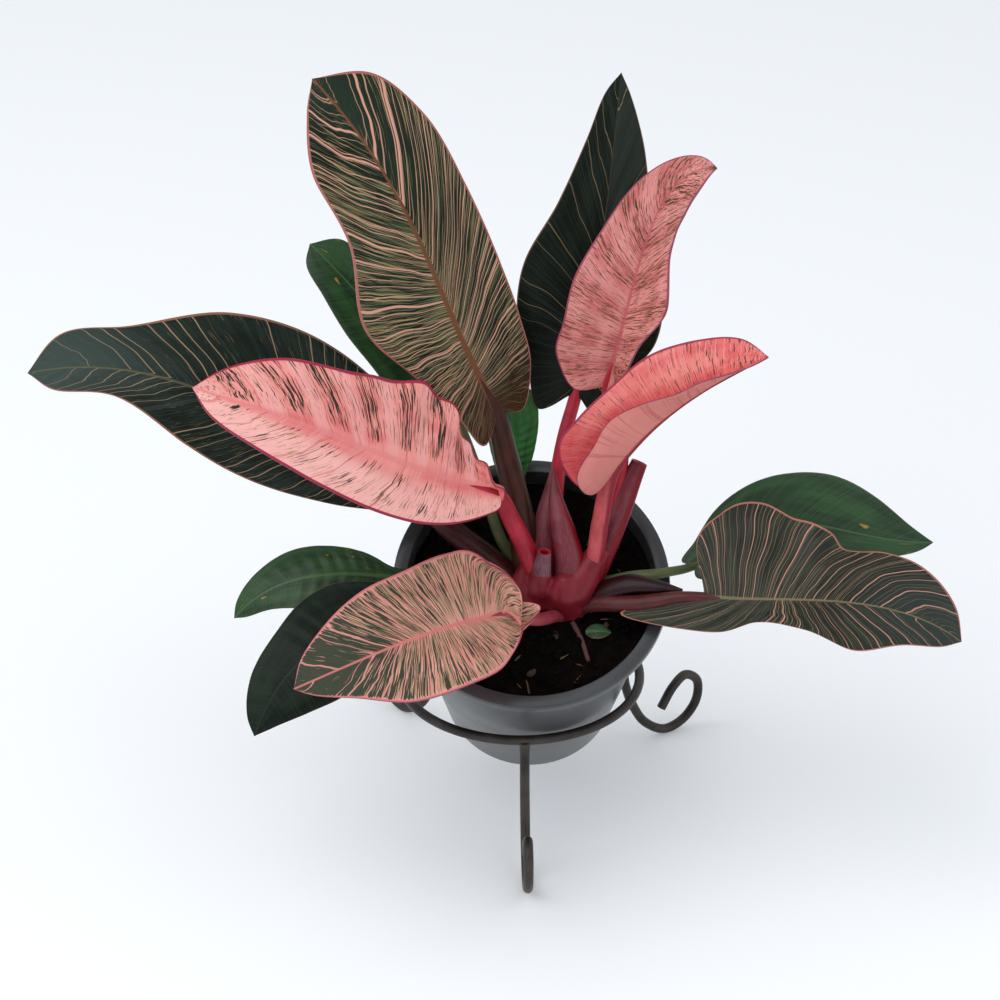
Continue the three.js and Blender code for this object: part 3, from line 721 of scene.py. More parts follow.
def blade(name, leaf, skins, along=120, across=48):
    """A leaf blade; skins are the materials of its face, its back and its edge.
    A half's ribs are (share, power, late power, bow), which set where its side veins leave the midrib.
    Its waves are (height, count, from, to), its pleat (height, count) and its scroll, the margin
    rolled up near the base, (part of the length, strip, radius)"""
    piece = begin(
        name, bpy.ops.mesh.primitive_grid_add, x_subdivisions=along, y_subdivisions=across, size=2
    )
    grid = np.array([v.co for v in piece.data.vertices])
    t = np.clip((grid[:, 0] + 1) / 2, 0, 1)
    v = grid[:, 1]
    length = along_spine(leaf["spine"], np.zeros(1))[2]
    spots = np.zeros((len(t), 3))
    reach = np.zeros(len(t))
    for side, sign in (("left", 1), ("right", -1)):
        form = leaf[side]
        mine = v >= 0 if sign > 0 else v < 0
        ts, ss = t[mine], np.abs(v[mine])[:, None]
        edge = half_outline(form, length, ts)
        share, power, late, bow = form.get("ribs", leaf.get("ribs", (1.0, 1.4, 1.4, 0.3)))
        root_part = share * ts**power + (1 - share) * ts**late
        root = np.column_stack([length * root_part, np.zeros_like(ts)])
        pull = root + (edge - root) * (bow, 0.55)
        x, y = ((1 - ss) ** 2 * root + 2 * ss * (1 - ss) * pull + ss**2 * edge).T
        part = x / length
        point, ahead, _ = along_spine(leaf["spine"], x)
        up = unit(pot_axis - (ahead @ pot_axis)[:, None] * ahead)
        out = np.cross(up, ahead) * sign
        widest = max(form["widths"])
        lift = np.radians(eased(form["lift"], part))
        rate = np.radians(eased(form["curl"], part)) / widest
        rate = np.where(np.abs(rate) < 1e-5, 1e-5, rate)
        wide = (np.sin(lift + rate * y) - np.sin(lift)) / rate
        rise = (np.cos(lift) - np.cos(lift + rate * y)) / rate
        if "waves" in form:
            height, count, low, high = form["waves"]
            g = np.clip((part - low) / (high - low), 0, 1)
            rise += height * np.sin(np.pi * g) * np.sin(2 * np.pi * count * g) * (y / widest) ** 1.6
        until, strip, radius = form.get("scroll", (-1, 1, 1))
        rolled = np.clip(y - edge[:, 1] + strip, 0, None) * np.clip((until - part) / 0.1, 0, 1)
        wide += radius * np.sin(rolled / radius) - rolled
        rise += radius * (1 - np.cos(rolled / radius))
        ridge, folds = form.get("pleat", (0.25, 14))
        rise += ridge * np.cos(2 * np.pi * folds * ts) * np.sin(np.pi * ss[:, 0]) ** 0.8 * np.sin(np.pi * ts)
        rise -= leaf.get("groove", 0.5) * np.exp(-((y / groove_width) ** 2)) * (1 - ts)
        spots[mine] = point + out * wide[:, None] + up * rise[:, None]
        reach[mine] = y
    for vertex, p in zip(piece.data.vertices, spots):
        vertex.co = place(*p)
    skin = piece.data.attributes.new("leaf", "FLOAT_VECTOR", "POINT")
    skin.data.foreach_set("vector", np.column_stack([t, v, reach]).ravel())
    edit(piece)
    bpy.ops.mesh.remove_doubles(threshold=0.00001)
    bpy.ops.object.mode_set(mode="OBJECT")
    for material in skins:
        piece.data.materials.append(material)
    only(piece)
    thick = piece.modifiers.new("thickness", "SOLIDIFY")
    thick.thickness = blade_thickness / 1000
    thick.offset = 0
    thick.material_offset = 1
    thick.material_offset_rim = 2
    bpy.ops.object.modifier_apply(modifier=thick.name)
    bpy.ops.object.shade_smooth()
    return piece


def stalk(name, leaf):
    """A leaf stalk, tapering on as a keel under the midrib"""
    path, radii = leaf["stalk"]
    length = along_spine(leaf["spine"], np.zeros(1))[2]

    def under(distance, drop):
        point, along, _ = along_spine(leaf["spine"], np.array([distance]))
        up = unit(pot_axis - (along @ pot_axis)[:, None] * along)
        return tuple((point - up * drop)[0])

    line = [*path, under(0, radii[-1] * 0.6), under(0.16 * length, 1.6)]
    line += [under(f * length, 1.0 - 0.5 * f) for f in (0.4, 0.65, keel_end)]
    return round_bar(name, line, tapered([*radii, 0.9, 0.75, 0.55, 0.25], 110), 22, 0.9, pot_axis)


def streaks(made, leaf, length, spacing, run, seed):
    """Noise drawn out along the side veins: streaks about a third of spacing wide and run long"""
    bend = add(made, "TexNoise", {"Vector": leaf, "Scale": 4.0, "Detail": 2})
    shift = add(
        made, "VectorMath", (bend.outputs["Color"], (0.012, 0, 0), leaf), operation="MULTIPLY_ADD"
    )
    size = (length / spacing, 30 / run, 0)
    start = (seed, seed * 1.7, seed * 0.3)
    stretch = add(made, "VectorMath", (shift, size, start), operation="MULTIPLY_ADD")
    return add(made, "TexNoise", {"Vector": stretch, "Scale": 1.0, "Detail": 2})


def veins(made, leaf, length, spacing, width, share, seed):
    """Thin lines along the side veins, about spacing apart and at most width of it wide.
    Only a share of them shows, and each side of the midrib has its own"""
    count = length / spacing
    bend = add(made, "TexNoise", {"Vector": leaf, "Scale": 2.6, "Detail": 0.5})
    parts = add(made, "SeparateXYZ", [leaf])
    shifted = add(made, "Math", (bend, 0.035 * count, seed), operation="MULTIPLY_ADD")
    row = add(made, "Math", (parts.outputs["X"], count, shifted), operation="MULTIPLY_ADD")
    number = add(made, "Math", [row], operation="FLOOR")
    side = add(made, "Math", [parts.outputs["Y"]], operation="SIGN")
    cell = add(made, "CombineXYZ", (number, side, seed))
    chance = add(made, "TexWhiteNoise", {"Vector": cell}, noise_dimensions="3D")
    draws = add(made, "SeparateXYZ", [chance.outputs["Color"]])
    within = add(made, "Math", [row], operation="FRACT")
    middle = add(made, "MapRange", (draws.outputs["X"], 0, 1, 0.35, 0.65))
    off = add(made, "Math", (within, middle), operation="SUBTRACT")
    away = add(made, "Math", [off], operation="ABSOLUTE")
    half = add(made, "MapRange", (draws.outputs["Y"], 0, 1, width * 0.15, width * 0.5))
    ratio = add(made, "Math", (away, half), operation="DIVIDE")
    line = add(made, "MapRange", (ratio, 1.3, 0.6), interpolation_type="SMOOTHSTEP")
    shown = add(made, "MapRange", (draws.outputs["Z"], 1 - share, 1.08 - share))
    return add(made, "Math", (line, shown), operation="MULTIPLY")


def leaf_face(name, length, ground, marks, rib, rim, tip=None, pleats=8, rough=0.42, sheen=0.12):
    """The face of a blade: a mottled ground, marks along the side veins, a midrib and a coloured margin.
    A mark is (colour, kind, sizes, strength, where), and where lists (axis, from, to, shift)"""
    made, shader = new_material(name)
    leaf = add(made, "Attribute", attribute_name="leaf").outputs["Vector"]
    parts = add(made, "SeparateXYZ", [leaf])
    flat = add(made, "VectorMath", (leaf, (1, 1, 0)), operation="MULTIPLY")
    out = add(made, "Math", [parts.outputs["Y"]], operation="ABSOLUTE")
    patch = add(made, "TexNoise", {"Vector": flat, "Scale": 3.0, "Detail": 3})
    turns = add(made, "Math", (parts.outputs["X"], pleats * math.tau), operation="MULTIPLY")
    wave = add(made, "Math", [turns], operation="SINE")
    sources = {"wave": wave, "t": parts.outputs["X"], "v": parts.outputs["Y"], "s": out}

    def fade(value, start, end, full=1.0):
        return add(made, "MapRange", (value, start, end, 0, full), interpolation_type="SMOOTHSTEP")

    def where_is(value, places):
        for axis, start, end, shift in places:
            value = add(made, "Math", (value, fade(sources[axis], start, end, shift)), operation="ADD")
        return value

    low, high = ground
    last = add(made, "Mix", {0: fade(patch, 0.35, 0.65), 6: tint(low), 7: tint(high)}, data_type="RGBA")
    for number, (code, kind, sizes, strength, places) in enumerate(marks):
        seed = 3.1 + 7.3 * number
        if kind == "streaks":
            spacing, run, low, high = sizes
            noise = streaks(made, flat, length, spacing, run, seed)
            cut = fade(where_is(noise, places), low, high, strength)
        elif kind == "veins":
            line = veins(made, flat, length, *sizes, seed)
            force = where_is(strength, places)
            cut = add(made, "Math", (line, force), operation="MULTIPLY", use_clamp=True)
        else:
            cut = add(made, "Math", (where_is(0.0, places), 0.0), operation="ADD", use_clamp=True)
        last = paint(made, last, cut, code)
    code, width, strength = rib
    narrow = add(made, "MapRange", (parts.outputs["X"], 0, 1, width, width * 0.25))
    across = add(made, "Math", (parts.outputs["Z"], narrow), operation="DIVIDE")
    last = paint(made, last, fade(across, 1.0, 0.35, strength), code)
    if tip:
        code, start = tip
        last = paint(made, last, fade(parts.outputs["X"], start, 1.003), code)
    code, start, full = rim
    last = paint(made, last, fade(out, start, full), code)
    fine = streaks(made, flat, length, 0.5, 60, 2.0)
    gloss = add(made, "MapRange", (fine, 0.3, 0.7, rough - 0.05, rough + 0.07))
    bump = add(made, "Bump", {"Height": fine, "Strength": 0.3, "Distance": 0.0003})
    wire(shader, {"Base Color": last, "Roughness": gloss, "Normal": bump, "Specular IOR Level": sheen})
    return made


def leaf_back(name, low, high, vein, length):
    """The duller back of a blade, with its side veins showing as fine lines"""
    made, shader = new_material(name)
    leaf = add(made, "Attribute", attribute_name="leaf").outputs["Vector"]
    flat = add(made, "VectorMath", (leaf, (1, 1, 0)), operation="MULTIPLY")
    fine = streaks(made, flat, length, 1.8, 60, 5.0)
    patch = add(made, "TexNoise", {"Vector": flat, "Scale": 3.0, "Detail": 3})
    ground = add(made, "Mix", {0: patch, 6: tint(low), 7: tint(high)}, data_type="RGBA")
    lines = add(made, "MapRange", (fine, 0.52, 0.7, 0, 0.7), interpolation_type="SMOOTHSTEP")
    bump = add(made, "Bump", {"Height": fine, "Strength": 0.3, "Distance": 0.0004})
    wire(shader, {"Base Color": paint(made, ground, lines, vein), "Roughness": 0.55, "Normal": bump})
    return made


def leaf_edge(name, code, mottle_mm=8):
    """The thin waxy rim round a blade"""
    made, shader = new_material(name)
    spot = add(made, "TexCoord").outputs["Object"]
    mottle = add(made, "TexNoise", {"Vector": spot, "Scale": 1000 / mottle_mm, "Detail": 2})
    tone = add(made, "MapRange", (mottle, 0.3, 0.7, 0.8, 1.15))
    scaled = add(made, "VectorMath", {0: tint(code)[:3], "Scale": tone}, operation="SCALE")
    wire(shader, {"Base Color": scaled, "Roughness": 0.4})
    return made


def grow(name, leaf, skins, bark, slots):
    """Stalk and blade of one leaf, in place of their two CAD solids"""
    settle(stalk(f"{name}_stalk", leaf), bark, slots[1], f"petiole_{name}")
    settle(blade(f"{name}_blade", leaf, skins), None, slots[0], f"leaf_{name}")


# Face of the tall leaf: satin black-green, rose stripes that thin out to the tip, olive between them, and a
# dark green painted sheen near the tip.
tall_face = leaf_face(
    "dark_leaf_with_fine_pink_stripes",
    length=165,
    ground=("#0f160f", "#1b251a"),
    marks=[
        ("#5b6444", "streaks", (0.5, 14, 0.54, 0.62), 0.85,
         [("v", -0.3, 0.3, 0.045), ("s", 0.3, 0.0, 0.06), ("t", 0.7, 0.95, -0.1)]),
        ("#a98b66", "streaks", (0.42, 22, 0.59, 0.64), 0.85,
         [("v", -0.3, 0.4, 0.035), ("t", 0.75, 1.0, -0.08)]),
        # Painted sheen: dark green near the tip.
        ("#1f3024", "wash", (), 0, [("t", 0.86, 0.98, 0.7)]),
        ("#c79881", "veins", (2.4, 0.24, 0.8), 0.88, [("t", 0.85, 1.0, -0.4)]),
        ("#d49a86", "veins", (9.0, 0.12, 0.7), 0.95, [("t", 0.9, 1.0, -0.4)]),
        ("#3d210e", "wash", (), 0, [("t", 0.28, 0.04, 0.85)]),
    ],
    rib=("#74462f", 2.8, 0.95),
    rim=("#a9685e", 0.965, 0.98),
)
# Its back, margin and stalk: dull olive, a rose hairline, and dark burgundy under a thin wax.
striped_back = leaf_back("dull_olive_leaf_back", "#4d5443", "#5f5a4a", "#8d6f5d", 165)
pink_edge = leaf_edge("rose_leaf_edge", "#b06a66")
dark_stalk = flesh("burgundy_stalk", "#28110b", "#471d13", "#5a2c1f", side=("#2c2419", -0.55, -0.9))
skins = (tall_face, striped_back, pink_edge)
grow("tall_striped", tall_striped, skins, dark_stalk, ("leaf_striped", "stalk_dark"))


# The long dark leaf at the left: a drooping blade with sparse cream veins.
# Its stalk is maroon above and grey-green below.
long_left = {
    "spine": [(-42, -24, 162), (-99, -27, 198), (-152, -25, 222), (-210, -17, 220)],
    "left": half(
        [11, 20, 27, 24, 12, 10], (5, 8), [-20, -20, -10, 0], [-30, -30, -15, 0],
        ribs=(0.8, 1.3, 6, 0.4),
    ),
    "right": half([29, 44, 50, 42, 22, 17], (8, 12), curl=[-15, -15, -10, 0], ribs=(0.75, 1.3, 7, 0.4)),
    "stalk": ([(8, -40, 121), (2, -38, 125), (-12, -34, 137), (-30, -30, 151)], [4.6, 5.6, 5.6, 5.2, 4.4]),
}
# Glossier black-green with cream hairlines, and a grey-green painted sheen toward the tip.
long_face = leaf_face(
    "dark_leaf_with_cream_veins",
    length=190,
    ground=("#0f1712", "#1b261f"),
    marks=[
        ("#36413a", "streaks", (0.5, 60, 0.5, 0.64), 0.6, []),
        ("#8f7a58", "streaks", (0.45, 7, 0.66, 0.69), 0.55, [("t", 0.6, 1.0, -0.05)]),
        ("#a98d6c", "veins", (5.2, 0.12, 0.8), 0.85, [("t", 0.85, 1.0, -0.4)]),
        # Painted sheen: grey-green toward the tip.
        ("#3f4f4a", "wash", (), 0, [("t", 0.72, 1.0, 0.6)]),
    ],
    rib=("#5c5a3e", 2.0, 0.7),
    rim=("#96664c", 0.97, 0.983),
    rough=0.34,
)
two_tone_stalk = flesh("maroon_and_grey_stalk", "#280d10", "#3f1517", "#502522", "#45453a")
skins = (long_face, striped_back, pink_edge)
grow("long_left", long_left, skins, two_tone_stalk, ("leaf_striped", "stalk_dark"))


# The pink leaf at the left: salmon pink with dark green dashes, crimson at the rim.
# Its upper half stands up in soft pleats and is ruffled at its base.
pink_left = {
    "spine": [(-9, -45, 177), (-50, -58, 199), (-86, -65, 219), (-135, -64, 237)],
    "left": half(
        [15, 27, 32, 27, 19, 10], (-1, 8), [10, 5, 5, 0], [30, 20, 10, 0],
        pleat=(0.35, 9), scroll=(0.04, 3, 1.4),
    ),
    "right": half(
        [6, 11, 11.5, 18, 19.5, 27, 32, 34, 28, 23, 11], (-1, 5), [30, 30, 30, 20], [20, 20, 20, 0],
        stations=(0.05, 0.08, 0.11, 0.15, 0.19, 0.23, 0.28, 0.38, 0.58, 0.78, 0.93),
        waves=(3, 3.5, 0.02, 0.6), pleat=(0.55, 9), scroll=(0.14, 5, 1.5),
    ),
    "ribs": (0.85, 1.3, 8, 0.35),
    "stalk": ([(8, -43, 130), (6, -44, 138), (2, -44, 150), (-4, -45, 164)], [4.4, 4.6, 4.3, 4.1, 3.6]),
}
# Salmon pink with green-black dashes in the hollows, a painted highlight along its pleats, and painted light
# that makes its lower half paler.
pink_face = leaf_face(
    "salmon_pink_leaf_with_green_dashes",
    length=150,
    pleats=9,
    ground=("#dc7674", "#ec988f"),
    marks=[
        # Painted highlight along the pleats.
        ("#f3b3ae", "wash", (), 0,
         [("wave", 0.3, -0.9, 0.6), ("v", -0.15, 0.1, -0.5), ("s", 0.95, 1.0, -0.4)]),
        # Painted light: the lower half paler.
        ("#f9c4bd", "wash", (), 0, [("v", 0.05, 0.5, 0.78)]),
        ("#f0aaa5", "streaks", (0.6, 60, 0.5, 0.68), 0.45, [("v", -0.2, 1.0, 0.06)]),
        ("#c95a64", "veins", (1.5, 0.2, 0.6), 0.3, []),
        ("#c24c58", "veins", (12.0, 0.1, 0.8), 0.45, []),
        ("#8f7440", "streaks", (0.5, 10, 0.63, 0.66), 0.8,
         [("s", 0.95, 0.75, 0.02), ("s", 0.3, 0.1, -0.1), ("v", -0.1, 0.2, 0.01)]),
        ("#1d2c22", "streaks", (0.55, 12, 0.69, 0.71), 0.97,
         [("wave", -0.2, 0.8, 0.11), ("v", 0.1, -0.3, 0.06), ("v", 0.2, 0.6, -0.03),
          ("s", 1.0, 0.85, 0.02), ("s", 0.22, 0.0, -0.3), ("t", 0.2, 0.08, -0.2)]),
    ],
    rib=("#e28787", 3.6, 0.6),
    rim=("#a02a44", 0.955, 0.972),
)
pink_back = leaf_back("pale_salmon_leaf_back", "#c96f6a", "#dc8a80", "#b85c5a", 150)
crimson_edge = leaf_edge("crimson_leaf_edge", "#8f2b40")
crimson_stalk = flesh("crimson_stalk", "#94192b", "#ba283d", "#b23c44", rough=0.3)
skins = (pink_face, pink_back, crimson_edge)
grow("pink_left", pink_left, skins, crimson_stalk, ("leaf_pink", "stalk_crimson"))


# The dark pointed leaf at the back: a flat blade that stands up behind the pink ones,
# on a thin crimson stalk.
dark_back = {
    "spine": [(24, 3, 201), (32, 12, 248), (38, 27, 291), (43, 53, 329)],
    "left": half([23, 31, 32, 21, 12, 6], (11, 15), [10, 10, 10, 10], [-20, 0, 0, 0]),
    "right": half([16, 30, 30, 20, 13, 5], (8, 11), [10, 10, 10, 10], [-20, 0, 0, 0]),
    "ribs": (0.6, 1.3, 8, 0.55),
    "stalk": (
        [(18, -38, 124), (18, -34, 130), (15, -23, 145), (16, -11, 167), (19, -4, 183)],
        [3.2, 3.6, 3.5, 3.3, 3.1, 2.8],
    ),
}
# Near-black green, fairly glossy, with a few faint tan veins.
dark_face = leaf_face(
    "near_black_leaf_with_tan_veins",
    length=145,
    ground=("#0a100a", "#151e15"),
    marks=[
        ("#24302a", "streaks", (0.5, 60, 0.5, 0.64), 0.6, []),
        ("#7d6c4e", "veins", (7.5, 0.07, 0.65), 0.8, []),
    ],
    rib=("#3d3a2a", 1.4, 0.6),
    rim=("#7b5345", 0.98, 0.988),
    rough=0.32,
)
dark_leaf_back = leaf_back("dull_green_leaf_back", "#35432f", "#46523a", "#5f6248", 145)
brown_edge = leaf_edge("brown_leaf_edge", "#6d4a3c")
skins = (dark_face, dark_leaf_back, brown_edge)
grow("dark_back", dark_back, skins, crimson_stalk, ("leaf_dark", "stalk_crimson"))


# The dull pink leaf at the upper right, hooked at its tip and waved down its right side,
# on a crimson stalk.
pink_right = {
    "spine": [(36, -27, 219), (47, -20, 263), (59, -14, 298), (80, -19, 315)],
    "left": half([25, 25, 25, 19, 13, 7], (6, 13), [10, 10, 10, 0], [-20, 0, 0, 0], pleat=(0.3, 7)),
    "right": half(
        [9, 13, 25.5, 14.5, 14.5, 12], (8, 8), [40, 45, 25, 5], [-20, 0, 10, 0],
        waves=(3, 2.5, 0.1, 0.8), pleat=(0.4, 7),
    ),
    "ribs": (0.75, 1.3, 7, 0.45),
    "stalk": (
        [(26, -42, 126), (29, -38, 134), (38, -31, 157), (43, -24, 180), (42, -24, 198)],
        [3, 3.5, 3.4, 3.2, 3, 2.7],
    ),
}
# Dusty salmon with brown flecks, greener toward its dark tip, with a painted highlight along its pleats.
dull_pink_face = leaf_face(
    "dull_salmon_leaf_with_brown_flecks",
    length=112,
    pleats=7,
    ground=("#bf6565", "#d58480"),
    marks=[
        # Painted highlight along the pleats.
        ("#e3a098", "wash", (), 0, [("wave", 0.2, -0.9, 0.4), ("s", 0.95, 1.0, -0.4)]),
        ("#dc9a90", "streaks", (0.6, 60, 0.5, 0.68), 0.5, []),
        ("#a94a54", "veins", (1.5, 0.2, 0.6), 0.3, []),
        ("#7c4a30", "streaks", (0.42, 8, 0.6, 0.64), 0.9,
         [("wave", -0.3, 0.7, 0.05), ("s", 0.98, 0.8, 0.01), ("v", 0.1, -0.3, 0.03)]),
        ("#2c3628", "streaks", (0.4, 7, 0.65, 0.67), 0.95,
         [("wave", -0.3, 0.7, 0.04), ("t", 0.5, 1.0, 0.04), ("v", 0.2, -0.2, 0.02)]),
    ],
    tip=("#3a3533", 0.975),
    rib=("#b85560", 2.4, 0.75),
    rim=("#98485c", 0.96, 0.978),
)
mauve_edge = leaf_edge("mauve_leaf_edge", "#8f4058")
skins = (dull_pink_face, pink_back, mauve_edge)
grow("pink_right", pink_right, skins, crimson_stalk, ("leaf_pink", "stalk_crimson"))


# The young leaf that is still half rolled: its right half folds over and shows its paler back.
# Its stalk is pink, and crimson down one side.
rolled_young = {
    "spine": [(36, -41, 180), (54, -48, 209), (77, -54, 232), (101, -58, 248)],
    "left": half([26, 26, 25, 25, 19, 11], (8, 8), [35, 40, 40, 30], [10, 0, 0, 0]),
    "right": half(
        [21, 18, 16, 10, 6, 3], (4, 6), [80, 105, 85, 45], [20, 30, 20, 0], waves=(1.4, 4, 0.0, 0.9)
    ),
    "stalk": ([(27, -48, 126), (29, -46, 133), (32, -44, 146), (34, -42, 162)], [3.6, 4.2, 4, 3.8, 3.4]),
}
# Coral red, deepest at the base, with fine brown flecks toward the tip.
coral_face = leaf_face(
    "coral_young_leaf",
    length=110,
    ground=("#e3686a", "#f08b84"),
    marks=[
        ("#f5aba1", "streaks", (0.6, 60, 0.5, 0.68), 0.5, []),
        ("#c24650", "veins", (1.6, 0.2, 0.6), 0.35, []),
        ("#a05838", "streaks", (0.42, 7, 0.63, 0.67), 0.75, [("t", 0.2, 0.5, 0.02)]),
        ("#2f3a2c", "streaks", (0.42, 9, 0.67, 0.69), 0.9, [("t", 0.5, 1.0, 0.08)]),
        ("#c9303f", "wash", (), 0, [("t", 0.5, 0.1, 0.65)]),
    ],
    tip=("#332a2c", 0.985),
    rib=("#cf5059", 2.0, 0.6),
    rim=("#a5344e", 0.955, 0.975),
    rough=0.4,
)
dark_side = ("#8a1a2c", -0.3, -0.7)
pink_stalk = flesh("salmon_pink_stalk", "#a03640", "#bc5054", "#cc7470", side=dark_side, rough=0.32)
skins = (coral_face, pink_back, mauve_edge)
grow("rolled_young", rolled_young, skins, pink_stalk, ("leaf_pink", "stalk_pink"))


# The striped leaf at the front left: pink with dense broken green stripes.
# The margins of its two lobes roll up at the base.
striped_front = {
    "spine": [(-6, -77, 137), (-34, -95, 140), (-62, -109, 136), (-94, -116, 124)],
    "left": half(
        [19, 27.9, 30.9, 27.9, 15, 6], (14, 6), [10, 10, 5, 0], [-10, 0, 0, 0],
        scroll=(0.1, 5, 1.8),
    ),
    "right": half([29, 31, 29, 27, 20, 11], (5, 16), [10, 10, 10, 0], [10, 0, 0, 0], scroll=(0.16, 9, 2.6)),
    "ribs": (0.72, 1.2, 10, 0.6),
    "stalk": ([(17, -50, 119), (14, -58, 124), (8, -67, 128), (2, -73, 132)], [2.4, 2.9, 2.9, 2.8, 2.5]),
}
# Dusty pink under khaki and dark green stripes, which close up toward the tip.
front_face = leaf_face(
    "pink_leaf_with_broken_green_stripes",
    length=100,
    ground=("#d38a7e", "#df9d90"),
    marks=[
        ("#8d8560", "streaks", (0.4, 16, 0.47, 0.53), 0.8, [("s", 0.9, 1.0, -0.15), ("s", 0.12, 0.0, -0.1)]),
        ("#26382a", "streaks", (0.42, 15, 0.53, 0.56), 0.95,
         [("t", 0.3, 0.95, 0.1), ("t", 0.7, 0.95, 0.17), ("s", 0.3, 0.0, -0.05), ("s", 0.92, 1.0, -0.2)]),
        ("#d98f86", "veins", (4.5, 0.17, 0.85), 0.9, []),
        ("#85593c", "wash", (), 0, [("t", 0.08, 0.0, 0.65)]),
    ],
    rib=("#d07874", 2.4, 0.85),
    rim=("#d07a7c", 0.963, 0.978),
)
rose_stalk = flesh("rose_stalk", "#7a2534", "#a04450", "#b56065", rough=0.32)
skins = (front_face, pink_back, crimson_edge)
grow("striped_front", striped_front, skins, rose_stalk, ("leaf_striped", "stalk_pink"))


# The striped leaf at the right: dark green with rose veins and a notched base.
# Its upper half waves up and down along the margin, with a notch where it folds.
striped_right = {
    "spine": [(78, -64, 138), (113, -72, 141), (151, -75, 139), (187, -74, 121)],
    "left": half(
        [40, 43, 36.5, 32, 30, 25.5, 25.5, 26, 24, 13], (7, 26), [15, 5, 0, 0], [0, 0, 0, 0],
        stations=(0.06, 0.2, 0.33, 0.42, 0.465, 0.5, 0.56, 0.64, 0.78, 0.93),
        waves=(8, 1, 0.3, 0.66), ribs=(0.75, 1.6, 16, 0.25),
    ),
    "right": half(
        [15, 10, 13, 20, 13, 7], (36, 12), [-25, -30, -30, -10], [0, 0, 0, 0],
        ribs=(0.6, 1.2, 16, 0.45),
    ),
    "stalk": ([(24, -47, 121), (30, -49, 125), (49, -57, 130), (67, -62, 136)], [3.2, 3.9, 3.7, 2.6, 2.2]),
}
# Waxy black-green with olive between close rose veins, and a grey painted sheen toward the tip.
right_face = leaf_face(
    "dark_leaf_with_rose_veins",
    length=115,
    ground=("#10140d", "#1d241a"),
    marks=[
        ("#45462f", "streaks", (0.5, 24, 0.5, 0.6), 0.7, [("t", 0.6, 1.0, -0.06)]),
        # Painted sheen: grey-green toward the tip.
        ("#2b3833", "wash", (), 0, [("t", 0.7, 0.95, 0.6)]),
        ("#8f7558", "veins", (1.5, 0.16, 0.75), 0.75, [("t", 0.6, 1.0, -0.35)]),
        ("#c68e7c", "veins", (4.6, 0.1, 0.8), 0.95, [("t", 0.85, 1.0, -0.3)]),
    ],
    rib=("#7c6f50", 1.2, 0.8),
    rim=("#b87668", 0.972, 0.985),
    sheen=0.28,
)
mauve_stalk = flesh("mauve_brown_stalk", "#3c1416", "#582426", "#6c3a38", "#3f3c30")
skins = (right_face, striped_back, pink_edge)
grow("striped_right", striped_right, skins, mauve_stalk, ("leaf_striped", "stalk_dark"))


# The plain green leaves: one right, one left, a lance-shaped one at the back and a small bright one.
# Smooth arched blades on thin olive stalks.
def green_leaf_face(name, length, low, high, spots):
    return leaf_face(
        name,
        length=length,
        ground=(low, high),
        marks=[
            ("#3f6132", "streaks", (0.6, 60, 0.5, 0.72), 0.35, []),
            ("#a8802f", "streaks", (7.0, 10, 0.68, 0.76), spots, []),
        ],
        rib=("#4a6b42", 1.6, 0.6),
        rim=("#6d5a40", 0.975, 0.988),
        rough=0.34,
        sheen=0.3,
    )


# Deep glossy green with a few yellow spots, a brighter one without, paler backs, an olive edge.
green_face = green_leaf_face("plain_deep_green_leaf", 115, "#17301a", "#284a26", 0.9)
bright_face = green_leaf_face("plain_bright_green_leaf", 60, "#245a2a", "#357a38", 0.0)
green_back_skin = leaf_back("pale_green_leaf_back", "#47633c", "#5a7548", "#738a5a", 115)
green_edge = leaf_edge("green_leaf_edge", "#5a5a3c")
olive_stalk = flesh("olive_stalk", "#454d30", "#5c653f", "#6c7150", rough=0.36)
green_leaves = {
    "green_right": {
        "spine": [(75, -38, 138), (109, -32, 155), (142, -32, 151), (180, -24, 141)],
        "left": half([8, 17, 26, 29, 21, 7], (3, 5)),
        "right": half([13, 16, 17, 15, 9, 4], (3, 5)),
        "ribs": (0.75, 1.3, 7, 0.45),
        "stalk": (
            [(26, -40, 124), (32, -40, 128), (47, -43, 134), (62, -43, 137)],
            [2.6, 3.2, 3.4, 2.2, 1.9],
        ),
    },
    "green_left": {
        "spine": [(-51, -44.5, 135), (-78, -47.5, 139), (-103, -48, 134), (-124, -48, 117)],
        "left": half([11, 15, 15, 13, 8, 4], (3, 5)),
        "right": half([5, 11, 15, 16, 11, 5], (3, 4)),
        "stalk": ([(9, -43, 118), (3, -42, 120), (-13, -45, 125), (-33, -48, 133)], [2, 2.2, 2.2, 2, 1.8]),
    },
    "green_back": {
        "spine": [(-30, 18, 188), (-50, 19, 214), (-71, 25, 238), (-92, 39, 255)],
        "left": half([15, 18, 17, 16, 12, 8], (5, 7)),
        "right": half([15, 18, 19, 18, 15, 12], (5, 7)),
        "stalk": (
            [(7, -36, 124), (2, -31, 129), (-8, -23, 141), (-16, -7, 158), (-24, 8, 175)],
            [2.4, 2.7, 2.6, 2.4, 2.2, 1.9],
        ),
    },
    "small_back": {
        "spine": [(-3, -5, 161), (-4, -1, 174), (-4, 3, 190), (-5, 7, 206)],
        "left": half([6, 8, 10, 11, 9, 5], (2, 3)),
        "right": half([6, 9, 11, 12, 11, 6], (2, 3)),
        "stalk": ([(8, -34, 126), (4, -29, 133), (-1, -17, 147)], [1.8, 2, 1.9, 1.7]),
    },
}
for name, leaf in green_leaves.items():
    face = bright_face if name == "small_back" else green_face
    skins = (face, green_back_skin, green_edge)
    grow(name, leaf, skins, olive_stalk, ("leaf_green", "stalk_olive"))


